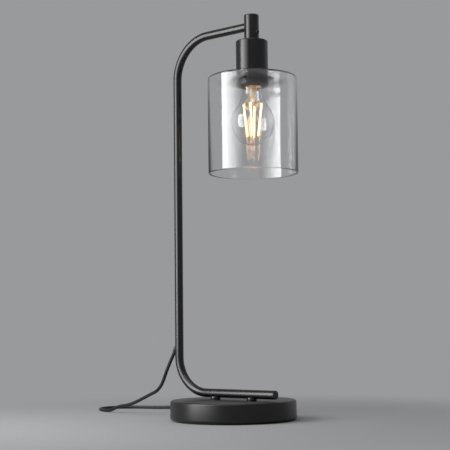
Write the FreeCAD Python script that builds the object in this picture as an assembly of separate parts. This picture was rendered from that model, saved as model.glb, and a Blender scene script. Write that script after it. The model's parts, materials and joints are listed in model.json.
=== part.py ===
import FreeCAD
import Part
import math
import os

# Table lamp: a weighted disc base, one bent tube as leg, post and arm, and a glass shade on a lampholder.
# Millimetres. Origin at the centre of the base's underside, +Z up, +X from the post towards the head.

# How far a cut runs past the face it opens, and the least radius left on an inner edge
past = 1.0
least_inner_radius = 0.3

# Base
base_radius = 87.0
base_height = 27.5
base_draft_degrees = 1.5
base_top_edge_radius = 2.5
base_foot_edge_radius = 3.0
cover_wall = 1.5
cover_floor_gap = 1.8
cover_lip_width = 7.0
weight_side_clearance = 0.3
pad_side_clearance = 0.3
pad_edge_radius = 0.5

# Bent tube
tube_radius = 6.0
tube_wall = 1.2
post_gap_to_base = 5.5
lower_bend_radius = 50.0
upper_bend_radius = 58.0
arm_height = 544.0
leg_end_inset = 14.0
end_cap_face = 1.5
end_cap_edge_radius = 0.5
end_cap_spigot_length = 6.0
spigot_clearance = 0.05

# Saddle spacers and foot bolts
spacer_x = 32.0
spacer_radius = 7.0
spacer_rise = 2.4
spacer_lip = 1.7
spacer_edge = 0.5
saddle_clearance = 0.03
bolt_radius = 2.5
bolt_hole_clearance = 0.25
bolt_head_radius = 4.25
bolt_head_height = 5.0
bolt_head_recess = 2.6
bolt_tip_below_leg_axis = 1.0
bolt_socket_width = 4.0
bolt_socket_depth = 2.5
washer_radius = 5.0
washer_thickness = 1.0
counterbore_clearance = 0.5
bush_radius = 3.5
bush_above_leg_axis = 1.5
thread_clearance = 0.05

# Hub on the arm, its screw, and the nipple and nut that hold the head together
arm_reach = 138.5
hub_radius = 10.3
hub_above_arm = 15.5
hub_below_arm = 21.8
hub_edge_radius = 1.5
hub_bore_past_axis = 4.0
tube_end_before_axis = 6.5
press_clearance = 0.03
hub_screw_below_arm = 9.7
hub_screw_radius = 1.5
hub_screw_head_radius = 3.0
hub_screw_head_height = 2.2
hub_screw_rim_height = 0.4
hub_screw_flat_radius = 1.05
hub_screw_socket_width = 2.0
hub_screw_socket_depth = 1.1
hub_screw_seat_clearance = 0.15
hub_spot_face_depth = 0.45
nipple_radius = 5.0
nipple_bore_radius = 3.5
nipple_below_tube = 1.0
nipple_in_cap = 8.0
nipple_edge_radius = 0.4
nipple_nut_width = 14.0
nipple_nut_height = 3.0
nut_to_holder = 5.0

# Cup over the lampholder
cup_wall = 1.2
cup_side_clearance = 0.3
cup_edge_radius = 1.5

# Glass shade
glass_radius = 62.0
glass_height = 133.7
glass_wall = 2.5
glass_shoulder_radius = 3.0
glass_hole_clearance = 0.5

# Lampholder, sized outwards from the lamp's cap
lamp_cap_clearance = 0.35
shell_wall = 0.5
shell_clearance = 0.3
shell_height = 24.0
shell_flange_inner_radius = 9.5
holder_wall = 4.95
holder_below_glass = 13.2
holder_above_glass = 17.3
holder_foot_chamfer = 1.8
holder_shoulder_reach = 1.5
holder_shoulder_height = 3.0
holder_shoulder_edge = 0.6
holder_neck_height = 7.0
holder_neck_wall = 1.7
holder_seat_below_neck = 1.0
holder_cap_height = 25.0
holder_cap_wall = 2.0
holder_cap_dome_radius = 8.0
holder_cap_boss_radius = 8.0
holder_cap_step = 1.0
block_clearance = 0.1
block_height = 6.0
block_edge_radius = 0.5
terminal_offset = 6.5
terminal_radius = 2.6
terminal_height = 7.0
terminal_screw_radius = 1.1
terminal_screw_reach = 2.0
terminal_screw_below_top = 2.0
terminal_wire_depth = 3.0
terminal_wire_clearance = 0.05
tongue_width = 5.0
tongue_thickness = 0.5
tongue_foot_reach = 8.0
tongue_foot_length = 4.0
tongue_drop = 1.3
tongue_tip_back = 2.0
tongue_tip_front = 3.0

# Shade ring
ring_clearance = 0.15
ring_height = 8.7
ring_collar_wall = 3.25
ring_flange_reach = 7.1
ring_flange_thickness = 1.6
ring_pocket_count = 12
ring_pocket_depth = 0.9
ring_rib_width = 2.0
ring_band_height = 1.5
ring_edge = 0.5

# Lamp, hanging with its contact upwards
lamp_gap_to_tongue = 0.4
lamp_globe_radius = 30.5
lamp_neck_radius = 13.6
lamp_neck_curve_radius = 45.0
lamp_neck_straight = 0.4
lamp_neck_taper = 1.5
lamp_glass_wall = 0.9
lamp_glass_in_cap = 8.0
lamp_cap_radius = 13.1
lamp_cap_height = 24.0
lamp_cap_wall = 0.4
lamp_cap_bevel = 1.6
lamp_cap_seat_clearance = 0.1
lamp_contact_radius = 4.5
lamp_contact_height = 2.0
lamp_contact_rim_height = 0.8
lamp_contact_tip_radius = 2.7
lamp_insulator_height = 4.0
lamp_stem_radius = 4.2
lamp_stem_flare_height = 2.5
lamp_stem_flare_reach = 1.5
lamp_stem_rim = 1.0
lamp_stem_seat_clearance = 0.05
lamp_stem_below_rim = 1.5
lamp_stem_pinch_thickness = 2.6
lamp_stem_pinch_height = 8.0
lamp_stem_pinch_overlap = 5.0

# Filaments and the wires that carry them
filament_count = 4
filament_radius = 1.05
filament_top_above_globe = 25.2
filament_foot_below_globe = 18.3
filament_top_circle = 12.7
filament_foot_circle = 7.7
filament_turn_degrees = 26.4
stem_tip_above_filaments = 2.5
support_wire_radius = 0.35
support_wire_stub = 1.5
support_bead_radius = 1.3
support_bead_below_filaments = 3.0
support_root_depth = 0.6
support_root_above_tip = 6.0

# Cord, its grommet and what is in the tube
cord_radius = 2.4
grommet_height = 97.3
grommet_slope_degrees = 58.0
grommet_reach_out = 6.4
grommet_reach_in = 10.8
grommet_tip_radius = 3.15
grommet_root_radius = 3.5
grommet_edge = 0.6
grommet_bore_clearance = 0.03
grommet_seat_clearance = 0.03
lead_bend_share = 0.8
grip_side_clearance = 0.3
grip_length = 8.0
grip_above_bend = 8.0
grip_edge = 0.6
sheath_end_before_hub = 20.0
core_radius = 1.0
core_offset = 1.15
core_bend_radius = 6.5
core_flare_radius = 1.6
core_flare_below_nipple = 1.0
core_flare_slope = 0.6

# Inline switch
switch_x = -150.0
switch_y = 114.0
switch_turn_degrees = -3.0
switch_length = 60.0
switch_width = 25.0
switch_height = 16.0
switch_split_z = 8.0
switch_nose_radius = 5.5
switch_shoulder_length = 10.0
switch_edge_radius = 2.0
switch_wall = 2.0
switch_well_inset = 3.0
rocker_length = 20.0
rocker_width = 11.0
rocker_clearance = 0.4
rocker_pin_radius = 1.25
rocker_pin_reach = 1.6
rocker_pin_clearance = 0.08
rocker_pin_below_top = 3.5
rocker_tilt_degrees = 8.0
rocker_crown = 1.2
rocker_crest_radius = 4.0
rocker_end_taper = 0.6
rocker_depth = 4.2
contact_strip_width = 3.5
contact_strip_gap = 2.0
contact_strip_thickness = 0.5
switch_screw_offset = 19.0
switch_screw_radius = 1.2
switch_screw_clearance = 0.05
switch_screw_head_radius = 2.4
switch_screw_head_height = 1.6
switch_screw_head_clearance = 0.15
switch_screw_recess = 1.5
switch_screw_in_cover = 4.0
screw_slot_length = 2.6
screw_slot_width = 0.6
screw_slot_depth = 0.8
floor_clearance = 0.15

# Wound length of the cord and its wire tie
coil_x = -60.0
coil_y = 145.0
coil_inner_radius = 20.3
coil_pitch = 5.25
coil_turns_per_layer = 3.25
coil_layer_rise = 5.25
coil_climb_turns = 0.5
tie_wire_radius = 0.45
tie_gap = 0.25
tie_floor_gap = 0.1
tie_corner_radius = 2.2
tie_twist_length = 3.0
tie_twist_rise = 0.6
tie_twist_radius = 0.72

# Plug
plug_x = -139.0
plug_y = 170.0
plug_turn_degrees = 192.0
plug_boot_length = 24.0
plug_boot_tip_radius = 3.1
plug_boot_root_radius = 4.6
plug_boot_rings = 5
plug_boot_ring_share = 0.7
plug_boot_groove = 0.7
plug_boot_groove_slope = 0.3
plug_body_length = 36.0
plug_body_width = 35.0
plug_body_height = 13.6
plug_rear_width = 16.0
plug_shoulder_share = 0.42
plug_corner_radius = 3.0
plug_edge_radius = 2.4
plug_pin_radius = 2.0
plug_pin_length = 19.0
plug_pin_root = 7.0
plug_pin_spacing = 19.0
plug_pin_clearance = 0.02
plug_sleeve_length = 10.0
plug_sleeve_radius = 1.75
plug_sleeve_wall = 0.3

# Stand sizes that follow from the ones above
leg_height = base_height + spacer_rise + tube_radius
leg_end_x = base_radius - leg_end_inset
post_x = -(base_radius + post_gap_to_base + tube_radius)
hub_x = post_x + arm_reach
tube_bore_radius = tube_radius - tube_wall
cover_opening_radius = base_radius - cover_lip_width
weight_foot_z = cover_floor_gap + cover_wall
base_roof_z = base_height - cover_wall
bolt_hole_radius = bolt_radius + bolt_hole_clearance
bolt_seat_z = weight_foot_z + bolt_head_recess + bolt_head_height
bolt_tip_z = leg_height - bolt_tip_below_leg_axis

# Lampholder radii, outwards from the lamp's cap
shell_inner_radius = lamp_cap_radius + lamp_cap_clearance
shell_outer_radius = shell_inner_radius + shell_wall
holder_opening_radius = shell_outer_radius + shell_clearance
holder_radius = holder_opening_radius + holder_wall
holder_shoulder_radius = holder_radius + holder_shoulder_reach
holder_neck_radius = holder_radius - holder_cap_wall
neck_bore_radius = holder_neck_radius - holder_neck_wall
glass_hole_radius = holder_radius + glass_hole_clearance
ring_bore_radius = holder_radius + ring_clearance
ring_collar_radius = ring_bore_radius + ring_collar_wall
ring_flange_radius = ring_collar_radius + ring_flange_reach
cup_radius = holder_shoulder_radius + cup_side_clearance + cup_wall

# Heights of the head, downwards from the arm
hub_top_z = arm_height + hub_above_arm
hub_foot_z = arm_height - hub_below_arm
hub_screw_z = arm_height - hub_screw_below_arm
nipple_top_z = arm_height - tube_radius - nipple_below_tube
nut_top_z = hub_foot_z - cup_wall
holder_cap_top_z = nut_top_z - nipple_nut_height - nut_to_holder
nipple_foot_z = holder_cap_top_z - nipple_in_cap
holder_neck_z = holder_cap_top_z - holder_cap_height
holder_neck_top_z = holder_neck_z + holder_neck_height
holder_seat_z = holder_neck_z - holder_seat_below_neck
block_top_z = holder_seat_z + block_height
terminal_top_z = block_top_z + terminal_height
glass_top_z = holder_neck_z - holder_above_glass
glass_foot_z = glass_top_z - glass_height
holder_foot_z = glass_top_z - holder_below_glass
ring_top_z = glass_top_z - glass_wall
ring_foot_z = ring_top_z - ring_height
tongue_foot_z = holder_seat_z - tongue_thickness - tongue_drop
lamp_top_z = tongue_foot_z - lamp_gap_to_tongue
lamp_cap_top_z = lamp_top_z - lamp_contact_height - lamp_insulator_height
lamp_cap_foot_z = lamp_top_z - lamp_contact_height - lamp_cap_height
lamp_neck_foot_z = lamp_cap_foot_z - lamp_neck_taper - lamp_neck_straight
globe_to_curve_reach = lamp_globe_radius + lamp_neck_curve_radius
globe_to_curve_across = lamp_neck_radius + lamp_neck_curve_radius
globe_z = lamp_neck_foot_z - math.sqrt(globe_to_curve_reach ** 2 - globe_to_curve_across ** 2)
filament_top_z = globe_z + filament_top_above_globe
filament_foot_z = globe_z - filament_foot_below_globe
lamp_stem_tip_z = filament_top_z + stem_tip_above_filaments
lamp_throat_radius = lamp_cap_radius - lamp_cap_wall - lamp_cap_seat_clearance
lamp_stem_flare_radius = lamp_throat_radius - lamp_glass_wall - lamp_stem_seat_clearance

# Cord and switch heights over the floor
rest_z = cord_radius + 0.02
coil_z = cord_radius + 2 * tie_wire_radius + tie_gap + tie_floor_gap
rocker_pin_z = switch_height - rocker_pin_below_top
plug_axis_z = plug_body_height / 2 + floor_clearance

X = FreeCAD.Vector(1, 0, 0)
Y = FreeCAD.Vector(0, 1, 0)
Z = FreeCAD.Vector(0, 0, 1)
HEAD = FreeCAD.Vector(hub_x, 0, 0)

exit_slope = math.radians(grommet_slope_degrees)
cord_exit_axis = FreeCAD.Vector(-math.cos(exit_slope), 0, -math.sin(exit_slope))
grommet_pierce = FreeCAD.Vector(post_x - tube_radius, 0, grommet_height)
cord_exit = grommet_pierce + cord_exit_axis * grommet_reach_out

nodes = {}


def vec(x, y, z):
    return FreeCAD.Vector(x, y, z)


def keep(name, shape):
    """Store a node's shape, as one solid where it is one."""
    if len(shape.Solids) == 1:
        shape = shape.Solids[0]
    nodes[name] = shape
    return shape


def rod(radius, start, end):
    """A plain cylinder between two points."""
    return Part.makeCylinder(radius, (end - start).Length, start, end - start)


def cone(start_radius, end_radius, start, end):
    return Part.makeCone(start_radius, end_radius, (end - start).Length, start, end - start)


def turned(profile, origin=None, axis=Z, side=X):
    """Revolve an outline of (radius, height) points and arcs about an axis through the origin.

    A point is a pair. A triple marks the middle of an arc that runs from the point before to the point after.
    """
    origin = origin or vec(0, 0, 0)
    place = [origin + side * p[0] + axis * p[1] for p in profile]
    edges = []
    i = 0
    count = len(profile)
    while i < count:
        after = (i + 1) % count
        if len(profile[after]) == 3:
            last = (i + 2) % count
            edges.append(Part.Arc(place[i], place[after], place[last]).toShape())
            i += 2
        else:
            if (place[i] - place[after]).Length > 1e-6:
                edges.append(Part.LineSegment(place[i], place[after]).toShape())
            i += 1
    face = Part.Face(Part.Wire(edges))
    return face.revolve(origin, axis, 360).Solids[0]


def round_edges_at(shape, radius, height, reach=0.01):
    """Fillet the edges that lie flat at one height."""
    picked = []
    for edge in shape.Edges:
        box = edge.BoundBox
        if abs(box.ZMin - height) < reach and abs(box.ZMax - height) < reach:
            picked.append(edge)
    return shape.makeFillet(radius, picked)


def corner_path(points, radii):
    """Straight runs joined by tangent arcs: radii holds one radius for each inner point."""
    edges = []
    start = points[0]
    for i in range(1, len(points) - 1):
        before = (points[i - 1] - points[i]).normalize()
        after = (points[i + 1] - points[i]).normalize()
        half_turn = (math.pi - before.getAngle(after)) / 2
        cut = radii[i - 1] * math.tan(half_turn)
        first = points[i] + before * cut
        last = points[i] + after * cut
        inward = (before + after).normalize()
        centre = points[i] + inward * (radii[i - 1] / math.cos(half_turn))
        middle = centre - inward * radii[i - 1]
        if (first - start).Length > 1e-6:
            edges.append(Part.LineSegment(start, first).toShape())
        edges.append(Part.Arc(first, middle, last).toShape())
        start = last
    if (points[-1] - start).Length > 1e-6:
        edges.append(Part.LineSegment(start, points[-1]).toShape())
    return Part.Wire(edges)


def swept(path, radius):
    """A round bar along a path."""
    first = path.OrderedEdges[0]
    start = first.valueAt(first.FirstParameter)
    ahead = first.tangentAt(first.FirstParameter)
    if first.Orientation == "Reversed":
        start = first.valueAt(first.LastParameter)
        ahead = first.tangentAt(first.LastParameter) * -1
    ring = Part.Wire(Part.makeCircle(radius, start, ahead))
    return path.makePipeShell([ring], True, False)


def free_radii(points):
    """Each arc as large as its two runs allow: 0.45 of the shorter run over the tangent of half the turn."""
    radii = []
    for i in range(1, len(points) - 1):
        before = points[i] - points[i - 1]
        after = points[i + 1] - points[i]
        half_turn = before.getAngle(after) / 2
        radii.append(0.45 * min(before.Length, after.Length) / math.tan(half_turn))
    return radii


def cord_stretch(name, points):
    """A free stretch of cord along hand-chosen points, with its radii and volume printed."""
    radii = free_radii(points)
    path = corner_path(points, radii)
    solid = swept(path, cord_radius)
    section = math.pi * cord_radius ** 2
    print(name, "length", round(path.Length, 1), "least radius", round(min(radii), 1))
    print(name, "radii", [round(r) for r in radii])
    print(name, "volume over section times length", round(solid.Volume / (section * path.Length), 4))
    keep(name, solid)
    return path.Length


def hexagon(width, start, depth, axis):
    """A hexagonal bar, width across its flats, from a point along an axis."""
    side = Y if abs(axis.dot(Y)) < 0.5 else X
    other = axis.cross(side)
    corners = []
    for i in range(7):
        a = math.radians(60 * i + 30)
        corners.append(start + (side * math.cos(a) + other * math.sin(a)) * (width / math.sqrt(3)))
    return Part.Face(Part.makePolygon(corners)).extrude(axis * depth)


def placed(shape, x, y, z, degrees):
    """Turn a shape about Z and move it from its own frame to its place."""
    copy = shape.copy()
    copy.rotate(vec(0, 0, 0), Z, degrees)
    copy.translate(vec(x, y, z))
    return copy


# Base: a spun cover with a rolled-in lip, a cast weight held in it and a pad under the weight
def base_skin(setback, foot_z, top_z, top_edge, foot_edge):
    slope = math.tan(math.radians(base_draft_degrees))
    foot_r = base_radius - setback - (foot_z - cover_floor_gap) * slope
    top_r = base_radius - setback - (top_z - cover_floor_gap) * slope
    body = turned([(0, foot_z), (foot_r, foot_z), (top_r, top_z), (0, top_z)])
    body = round_edges_at(body, top_edge, top_z)
    return round_edges_at(body, foot_edge, foot_z)


def bolt_centres():
    return [-spacer_x, spacer_x]


def make_base():
    cover = base_skin(0, cover_floor_gap, base_height, base_top_edge_radius, base_foot_edge_radius)
    cover = cover.cut(
        base_skin(
            cover_wall,
            weight_foot_z,
            base_roof_z,
            max(base_top_edge_radius - cover_wall, least_inner_radius),
            max(base_foot_edge_radius - cover_wall, least_inner_radius),
        )
    )
    cover = cover.cut(rod(cover_opening_radius, vec(0, 0, 0), vec(0, 0, weight_foot_z + past)))
    weight = base_skin(
        cover_wall + weight_side_clearance,
        weight_foot_z,
        base_roof_z,
        base_top_edge_radius,
        base_foot_edge_radius,
    )
    for x in bolt_centres():
        shank_hole = rod(bolt_hole_radius, vec(x, 0, weight_foot_z - past), vec(x, 0, base_height + past))
        counterbore = rod(
            washer_radius + counterbore_clearance,
            vec(x, 0, weight_foot_z - past),
            vec(x, 0, bolt_seat_z + washer_thickness),
        )
        cover = cover.cut(shank_hole)
        weight = weight.cut(shank_hole).cut(counterbore)
    keep("base_cover", cover)
    keep("base_weight", weight)
    pad = rod(cover_opening_radius - pad_side_clearance, vec(0, 0, 0), vec(0, 0, weight_foot_z))
    keep("base_pad", round_edges_at(pad, pad_edge_radius, 0))

    bolts = []
    washers = []
    for x in bolt_centres():
        head_foot = vec(x, 0, bolt_seat_z - bolt_head_height)
        seat = vec(x, 0, bolt_seat_z)
        washer_top = seat + Z * washer_thickness
        shank = rod(bolt_radius, seat, vec(x, 0, bolt_tip_z))
        socket = hexagon(bolt_socket_width, head_foot, bolt_socket_depth, Z)
        bolts.append(rod(bolt_head_radius, head_foot, seat).fuse(shank).removeSplitter().cut(socket))
        washer_hole = rod(bolt_hole_radius, seat - Z * past, washer_top + Z * past)
        washers.append(rod(washer_radius, seat, washer_top).cut(washer_hole))
    keep("foot_bolts", Part.makeCompound(bolts))
    keep("foot_washers", Part.makeCompound(washers))


# Saddle spacers: short round seats, hollowed on top to the tube's own radius
def make_spacers():
    saddle_radius = tube_radius + saddle_clearance
    leg_bar = rod(saddle_radius, vec(-base_radius, 0, leg_height), vec(base_radius, 0, leg_height))
    height = spacer_rise + spacer_lip
    for name, x in (("rear_spacer", -spacer_x), ("front_spacer", spacer_x)):
        seat = turned(
            [
                (0, 0),
                (spacer_radius - spacer_edge, 0),
                (spacer_radius, spacer_edge),
                (spacer_radius, height - spacer_edge),
                (spacer_radius - spacer_edge, height),
                (0, height),
            ],
            vec(x, 0, base_height),
        )
        seat = seat.cut(leg_bar)
        hole = rod(bolt_hole_radius, vec(x, 0, base_height - past), vec(x, 0, leg_height))
        keep(name, seat.cut(hole))


# Bent tube: leg over the base, lower bend, post, upper bend and arm in one length
def tube_path(start_x, end_x):
    corners = [
        vec(start_x, 0, leg_height),
        vec(post_x, 0, leg_height),
        vec(post_x, 0, arm_height),
        vec(end_x, 0, arm_height),
    ]
    return corner_path(corners, [lower_bend_radius, upper_bend_radius])


def grommet_body(extra):
    """The grommet's outside, tapering from inside the post to its tip, grown by a clearance."""
    root = grommet_pierce - cord_exit_axis * grommet_reach_in
    return cone(grommet_root_radius + extra, grommet_tip_radius + extra, root, cord_exit)


def make_tube():
    start_x = leg_end_x - end_cap_face
    end_x = hub_x - tube_end_before_axis
    outside = swept(tube_path(start_x, end_x), tube_radius)
    inside = swept(tube_path(start_x, end_x), tube_bore_radius)
    tube = outside.cut(inside)
    for x in bolt_centres():
        tube = tube.cut(rod(bush_radius, vec(x, 0, leg_height - tube_radius - past), vec(x, 0, leg_height)))
    tube = tube.cut(grommet_body(grommet_seat_clearance))
    keep("arm_tube", tube)

    face = rod(tube_radius, vec(start_x, 0, leg_height), vec(leg_end_x, 0, leg_height))
    ring = [e for e in face.Edges if abs(e.BoundBox.XMin - leg_end_x) < 0.01]
    face = face.makeFillet(end_cap_edge_radius, ring)
    spigot_start = vec(start_x - end_cap_spigot_length, 0, leg_height)
    spigot = rod(tube_bore_radius - spigot_clearance, spigot_start, vec(start_x, 0, leg_height))
    keep("arm_end_cap", face.fuse(spigot).removeSplitter())

    bushes = []
    for x in bolt_centres():
        foot = vec(x, 0, leg_height - tube_radius)
        top = vec(x, 0, leg_height + bush_above_leg_axis)
        bush = rod(bush_radius, foot, top)
        bush = bush.cut(rod(bolt_radius + thread_clearance, foot - Z * past, top + Z * past))
        leg_axis = vec(x, 0, leg_height)
        inside_leg = rod(tube_radius, leg_axis - X * tube_radius, leg_axis + X * tube_radius)
        bushes.append(bush.common(inside_leg))
    keep("tube_bushes", Part.makeCompound(bushes))


# Cord inside the stand: grommet, grip, sheathed lead and its two cores
def make_wiring():
    rise = (grommet_pierce.x - post_x) / cord_exit_axis.x
    turn_z = grommet_pierce.z - cord_exit_axis.z * rise
    half_turn = (math.pi / 2 - exit_slope) / 2
    cut = lead_bend_share * rise
    lead_points = [
        cord_exit,
        vec(post_x, 0, turn_z),
        vec(post_x, 0, arm_height),
        vec(hub_x - sheath_end_before_hub, 0, arm_height),
    ]
    lead_path = corner_path(lead_points, [cut / math.tan(half_turn), upper_bend_radius])
    keep("inner_lead", swept(lead_path, cord_radius))

    grommet = grommet_body(0)
    rims = [e for e in grommet.Edges if e.Closed and (e.CenterOfMass - cord_exit).Length < 0.01]
    grommet = grommet.makeFillet(grommet_edge, rims)
    lead_way = swept(lead_path, cord_radius + grommet_bore_clearance)
    keep("cord_grommet", grommet.cut(lead_way))

    grip_foot_z = turn_z + cut + grip_above_bend
    grip_bore = cord_radius + grommet_bore_clearance
    grip_radius = tube_bore_radius - grip_side_clearance
    grip = turned(
        [
            (grip_bore, 0),
            (grip_radius - grip_edge, 0),
            (grip_radius, grip_edge),
            (grip_radius, grip_length - grip_edge),
            (grip_radius - grip_edge, grip_length),
            (grip_bore, grip_length),
        ],
        vec(post_x, 0, grip_foot_z),
    )
    keep("lead_grip", grip)

    flare_z = nipple_foot_z - core_flare_below_nipple
    flare_foot_z = flare_z - core_flare_slope * (terminal_offset - core_offset)
    for name, side in (("live_core", 1), ("neutral_core", -1)):
        near = side * core_offset
        far = side * terminal_offset
        points = [
            vec(hub_x - sheath_end_before_hub, near, arm_height),
            vec(hub_x, near, arm_height),
            vec(hub_x, near, flare_z),
            vec(hub_x, far, flare_foot_z),
            vec(hub_x, far, terminal_top_z - terminal_wire_depth),
        ]
        bends = [core_bend_radius, core_flare_radius, core_flare_radius]
        keep(name, swept(corner_path(points, bends), core_radius))


# Head: hub on the arm, cup under it, and the threaded nipple that holds them together
def make_head():
    hub = rod(hub_radius, vec(hub_x, 0, hub_foot_z), vec(hub_x, 0, hub_top_z))
    hub = round_edges_at(hub, hub_edge_radius, hub_top_z)
    arm_bore = rod(
        tube_radius + press_clearance,
        vec(hub_x - hub_radius - past, 0, arm_height),
        vec(hub_x + hub_bore_past_axis, 0, arm_height),
    )
    nipple_hole = nipple_radius + press_clearance
    nipple_bore = rod(nipple_hole, vec(hub_x, 0, hub_foot_z - past), vec(hub_x, 0, arm_height))
    spot_x = hub_x + hub_radius - hub_spot_face_depth
    spot = rod(
        hub_screw_head_radius + hub_screw_seat_clearance,
        vec(spot_x, 0, hub_screw_z),
        vec(hub_x + hub_radius + past, 0, hub_screw_z),
    )
    screw_bore = hub_screw_radius + thread_clearance
    screw_hole = rod(screw_bore, vec(hub_x, 0, hub_screw_z), vec(spot_x, 0, hub_screw_z))
    keep("head_hub", hub.cut(arm_bore).cut(nipple_bore).cut(spot).cut(screw_hole))

    dome_width = hub_screw_head_radius - hub_screw_flat_radius
    dome_rise = hub_screw_head_height - hub_screw_rim_height
    dome = turned(
        [
            (0, 0),
            (hub_screw_head_radius, 0),
            (hub_screw_head_radius, hub_screw_rim_height),
            (
                hub_screw_flat_radius + dome_width * math.sqrt(0.5),
                hub_screw_rim_height + dome_rise * math.sqrt(0.5),
                "arc",
            ),
            (hub_screw_flat_radius, hub_screw_head_height),
            (0, hub_screw_head_height),
        ],
        vec(spot_x, 0, hub_screw_z),
        X,
        Z,
    )
    shank = rod(
        hub_screw_radius,
        vec(hub_x + nipple_hole, 0, hub_screw_z),
        vec(spot_x, 0, hub_screw_z),
    )
    socket = hexagon(
        hub_screw_socket_width,
        vec(spot_x + hub_screw_head_height - hub_screw_socket_depth, 0, hub_screw_z),
        hub_screw_socket_depth + past,
        X,
    )
    keep("hub_screw", dome.fuse(shank).removeSplitter().cut(socket))

    cup = rod(cup_radius, vec(hub_x, 0, glass_top_z), vec(hub_x, 0, hub_foot_z))
    cup = round_edges_at(cup, cup_edge_radius, hub_foot_z)
    hollow = rod(cup_radius - cup_wall, vec(hub_x, 0, glass_top_z - past), vec(hub_x, 0, nut_top_z))
    hollow = round_edges_at(hollow, max(cup_edge_radius - cup_wall, least_inner_radius), nut_top_z)
    cup_hole = rod(nipple_hole, vec(hub_x, 0, nut_top_z - past), vec(hub_x, 0, hub_foot_z + past))
    keep("holder_cup", cup.cut(hollow).cut(cup_hole))

    nipple = rod(nipple_radius, vec(hub_x, 0, nipple_foot_z), vec(hub_x, 0, nipple_top_z))
    nipple = round_edges_at(nipple, nipple_edge_radius, nipple_foot_z)
    way_foot = vec(hub_x, 0, nipple_foot_z - past)
    way_top = vec(hub_x, 0, nipple_top_z + past)
    keep("threaded_nipple", nipple.cut(rod(nipple_bore_radius, way_foot, way_top)))
    nut_top = vec(hub_x, 0, nut_top_z)
    nut = hexagon(nipple_nut_width, nut_top, nipple_nut_height, Z * -1)
    nut_hole = rod(nipple_hole, nut_top + Z * past, nut_top - Z * (nipple_nut_height + past))
    keep("nipple_nut", nut.cut(nut_hole))


# Lampholder: domed cap on the nipple, threaded body through the glass, and the parts that carry current
def make_lampholder():
    foot = holder_foot_z
    shoulder_top = glass_top_z + holder_shoulder_height
    body = turned(
        [
            (holder_opening_radius, foot),
            (holder_radius - holder_foot_chamfer, foot),
            (holder_radius, foot + holder_foot_chamfer),
            (holder_radius, glass_top_z),
            (holder_shoulder_radius, glass_top_z),
            (holder_shoulder_radius, shoulder_top - holder_shoulder_edge),
            (holder_shoulder_radius - holder_shoulder_edge, shoulder_top),
            (holder_radius, shoulder_top),
            (holder_radius, holder_neck_z),
            (holder_neck_radius, holder_neck_z),
            (holder_neck_radius, holder_neck_top_z),
            (neck_bore_radius, holder_neck_top_z),
            (neck_bore_radius, holder_seat_z),
            (holder_opening_radius, holder_seat_z),
        ],
        HEAD,
    )
    keep("lampholder_body", body)

    skirt_r = holder_radius
    inner_r = holder_neck_radius + press_clearance
    step_z = holder_neck_top_z + holder_cap_step
    top = holder_cap_top_z
    dome = holder_cap_dome_radius
    bend = dome * (1 - math.sqrt(0.5))
    wall = holder_cap_wall
    inner_dome = dome - wall
    inner_bend = inner_dome * (1 - math.sqrt(0.5))
    cap = turned(
        [
            (inner_r, holder_neck_z),
            (skirt_r, holder_neck_z),
            (skirt_r, top - dome),
            (skirt_r - bend, top - bend, "arc"),
            (skirt_r - dome, top),
            (nipple_radius + press_clearance, top),
            (nipple_radius + press_clearance, nipple_foot_z),
            (holder_cap_boss_radius, nipple_foot_z),
            (holder_cap_boss_radius, top - wall),
            (skirt_r - dome, top - wall),
            (skirt_r - wall - inner_bend, top - wall - inner_bend, "arc"),
            (skirt_r - wall, top - dome),
            (skirt_r - wall, step_z),
            (inner_r, step_z),
        ],
        HEAD,
    )
    keep("lampholder_cap", cap)

    block_radius = neck_bore_radius - block_clearance
    block = rod(block_radius, vec(hub_x, 0, holder_seat_z), vec(hub_x, 0, block_top_z))
    keep("contact_block", round_edges_at(block, block_edge_radius, block_top_z))

    terminals = []
    for side in (-1, 1):
        top_point = vec(hub_x, side * terminal_offset, terminal_top_z)
        post = rod(terminal_radius, top_point - Z * terminal_height, top_point)
        wire_radius = core_radius + terminal_wire_clearance
        wire_hole = rod(wire_radius, top_point - Z * terminal_wire_depth, top_point + Z * past)
        screw_root = top_point - Z * terminal_screw_below_top
        screw_tip = screw_root + X * (terminal_radius + terminal_screw_reach)
        screw = rod(terminal_screw_radius, screw_root, screw_tip)
        terminals.append(post.fuse(screw).removeSplitter().cut(wire_hole))
    keep("terminals", Part.makeCompound(terminals))

    shell_foot = holder_seat_z - shell_height
    flange_foot = holder_seat_z - shell_wall
    shell = turned(
        [
            (shell_outer_radius, shell_foot),
            (shell_outer_radius, holder_seat_z),
            (shell_flange_inner_radius, holder_seat_z),
            (shell_flange_inner_radius, flange_foot),
            (shell_inner_radius, flange_foot),
            (shell_inner_radius, shell_foot),
        ],
        HEAD,
    )
    keep("screw_shell", shell)

    foot_x = hub_x - tongue_foot_reach
    bend_x = foot_x + tongue_foot_length
    back_x = hub_x - tongue_tip_back
    front_x = hub_x + tongue_tip_front
    outline = [
        (foot_x, holder_seat_z),
        (foot_x, holder_seat_z - tongue_thickness),
        (bend_x, holder_seat_z - tongue_thickness),
        (back_x, tongue_foot_z),
        (front_x, tongue_foot_z),
        (front_x, tongue_foot_z + tongue_thickness),
        (back_x, tongue_foot_z + tongue_thickness),
        (bend_x, holder_seat_z),
        (foot_x, holder_seat_z),
    ]
    side_face = Part.Face(Part.makePolygon([vec(x, -tongue_width / 2, z) for x, z in outline]))
    keep("centre_contact", side_face.extrude(Y * tongue_width))


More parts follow.
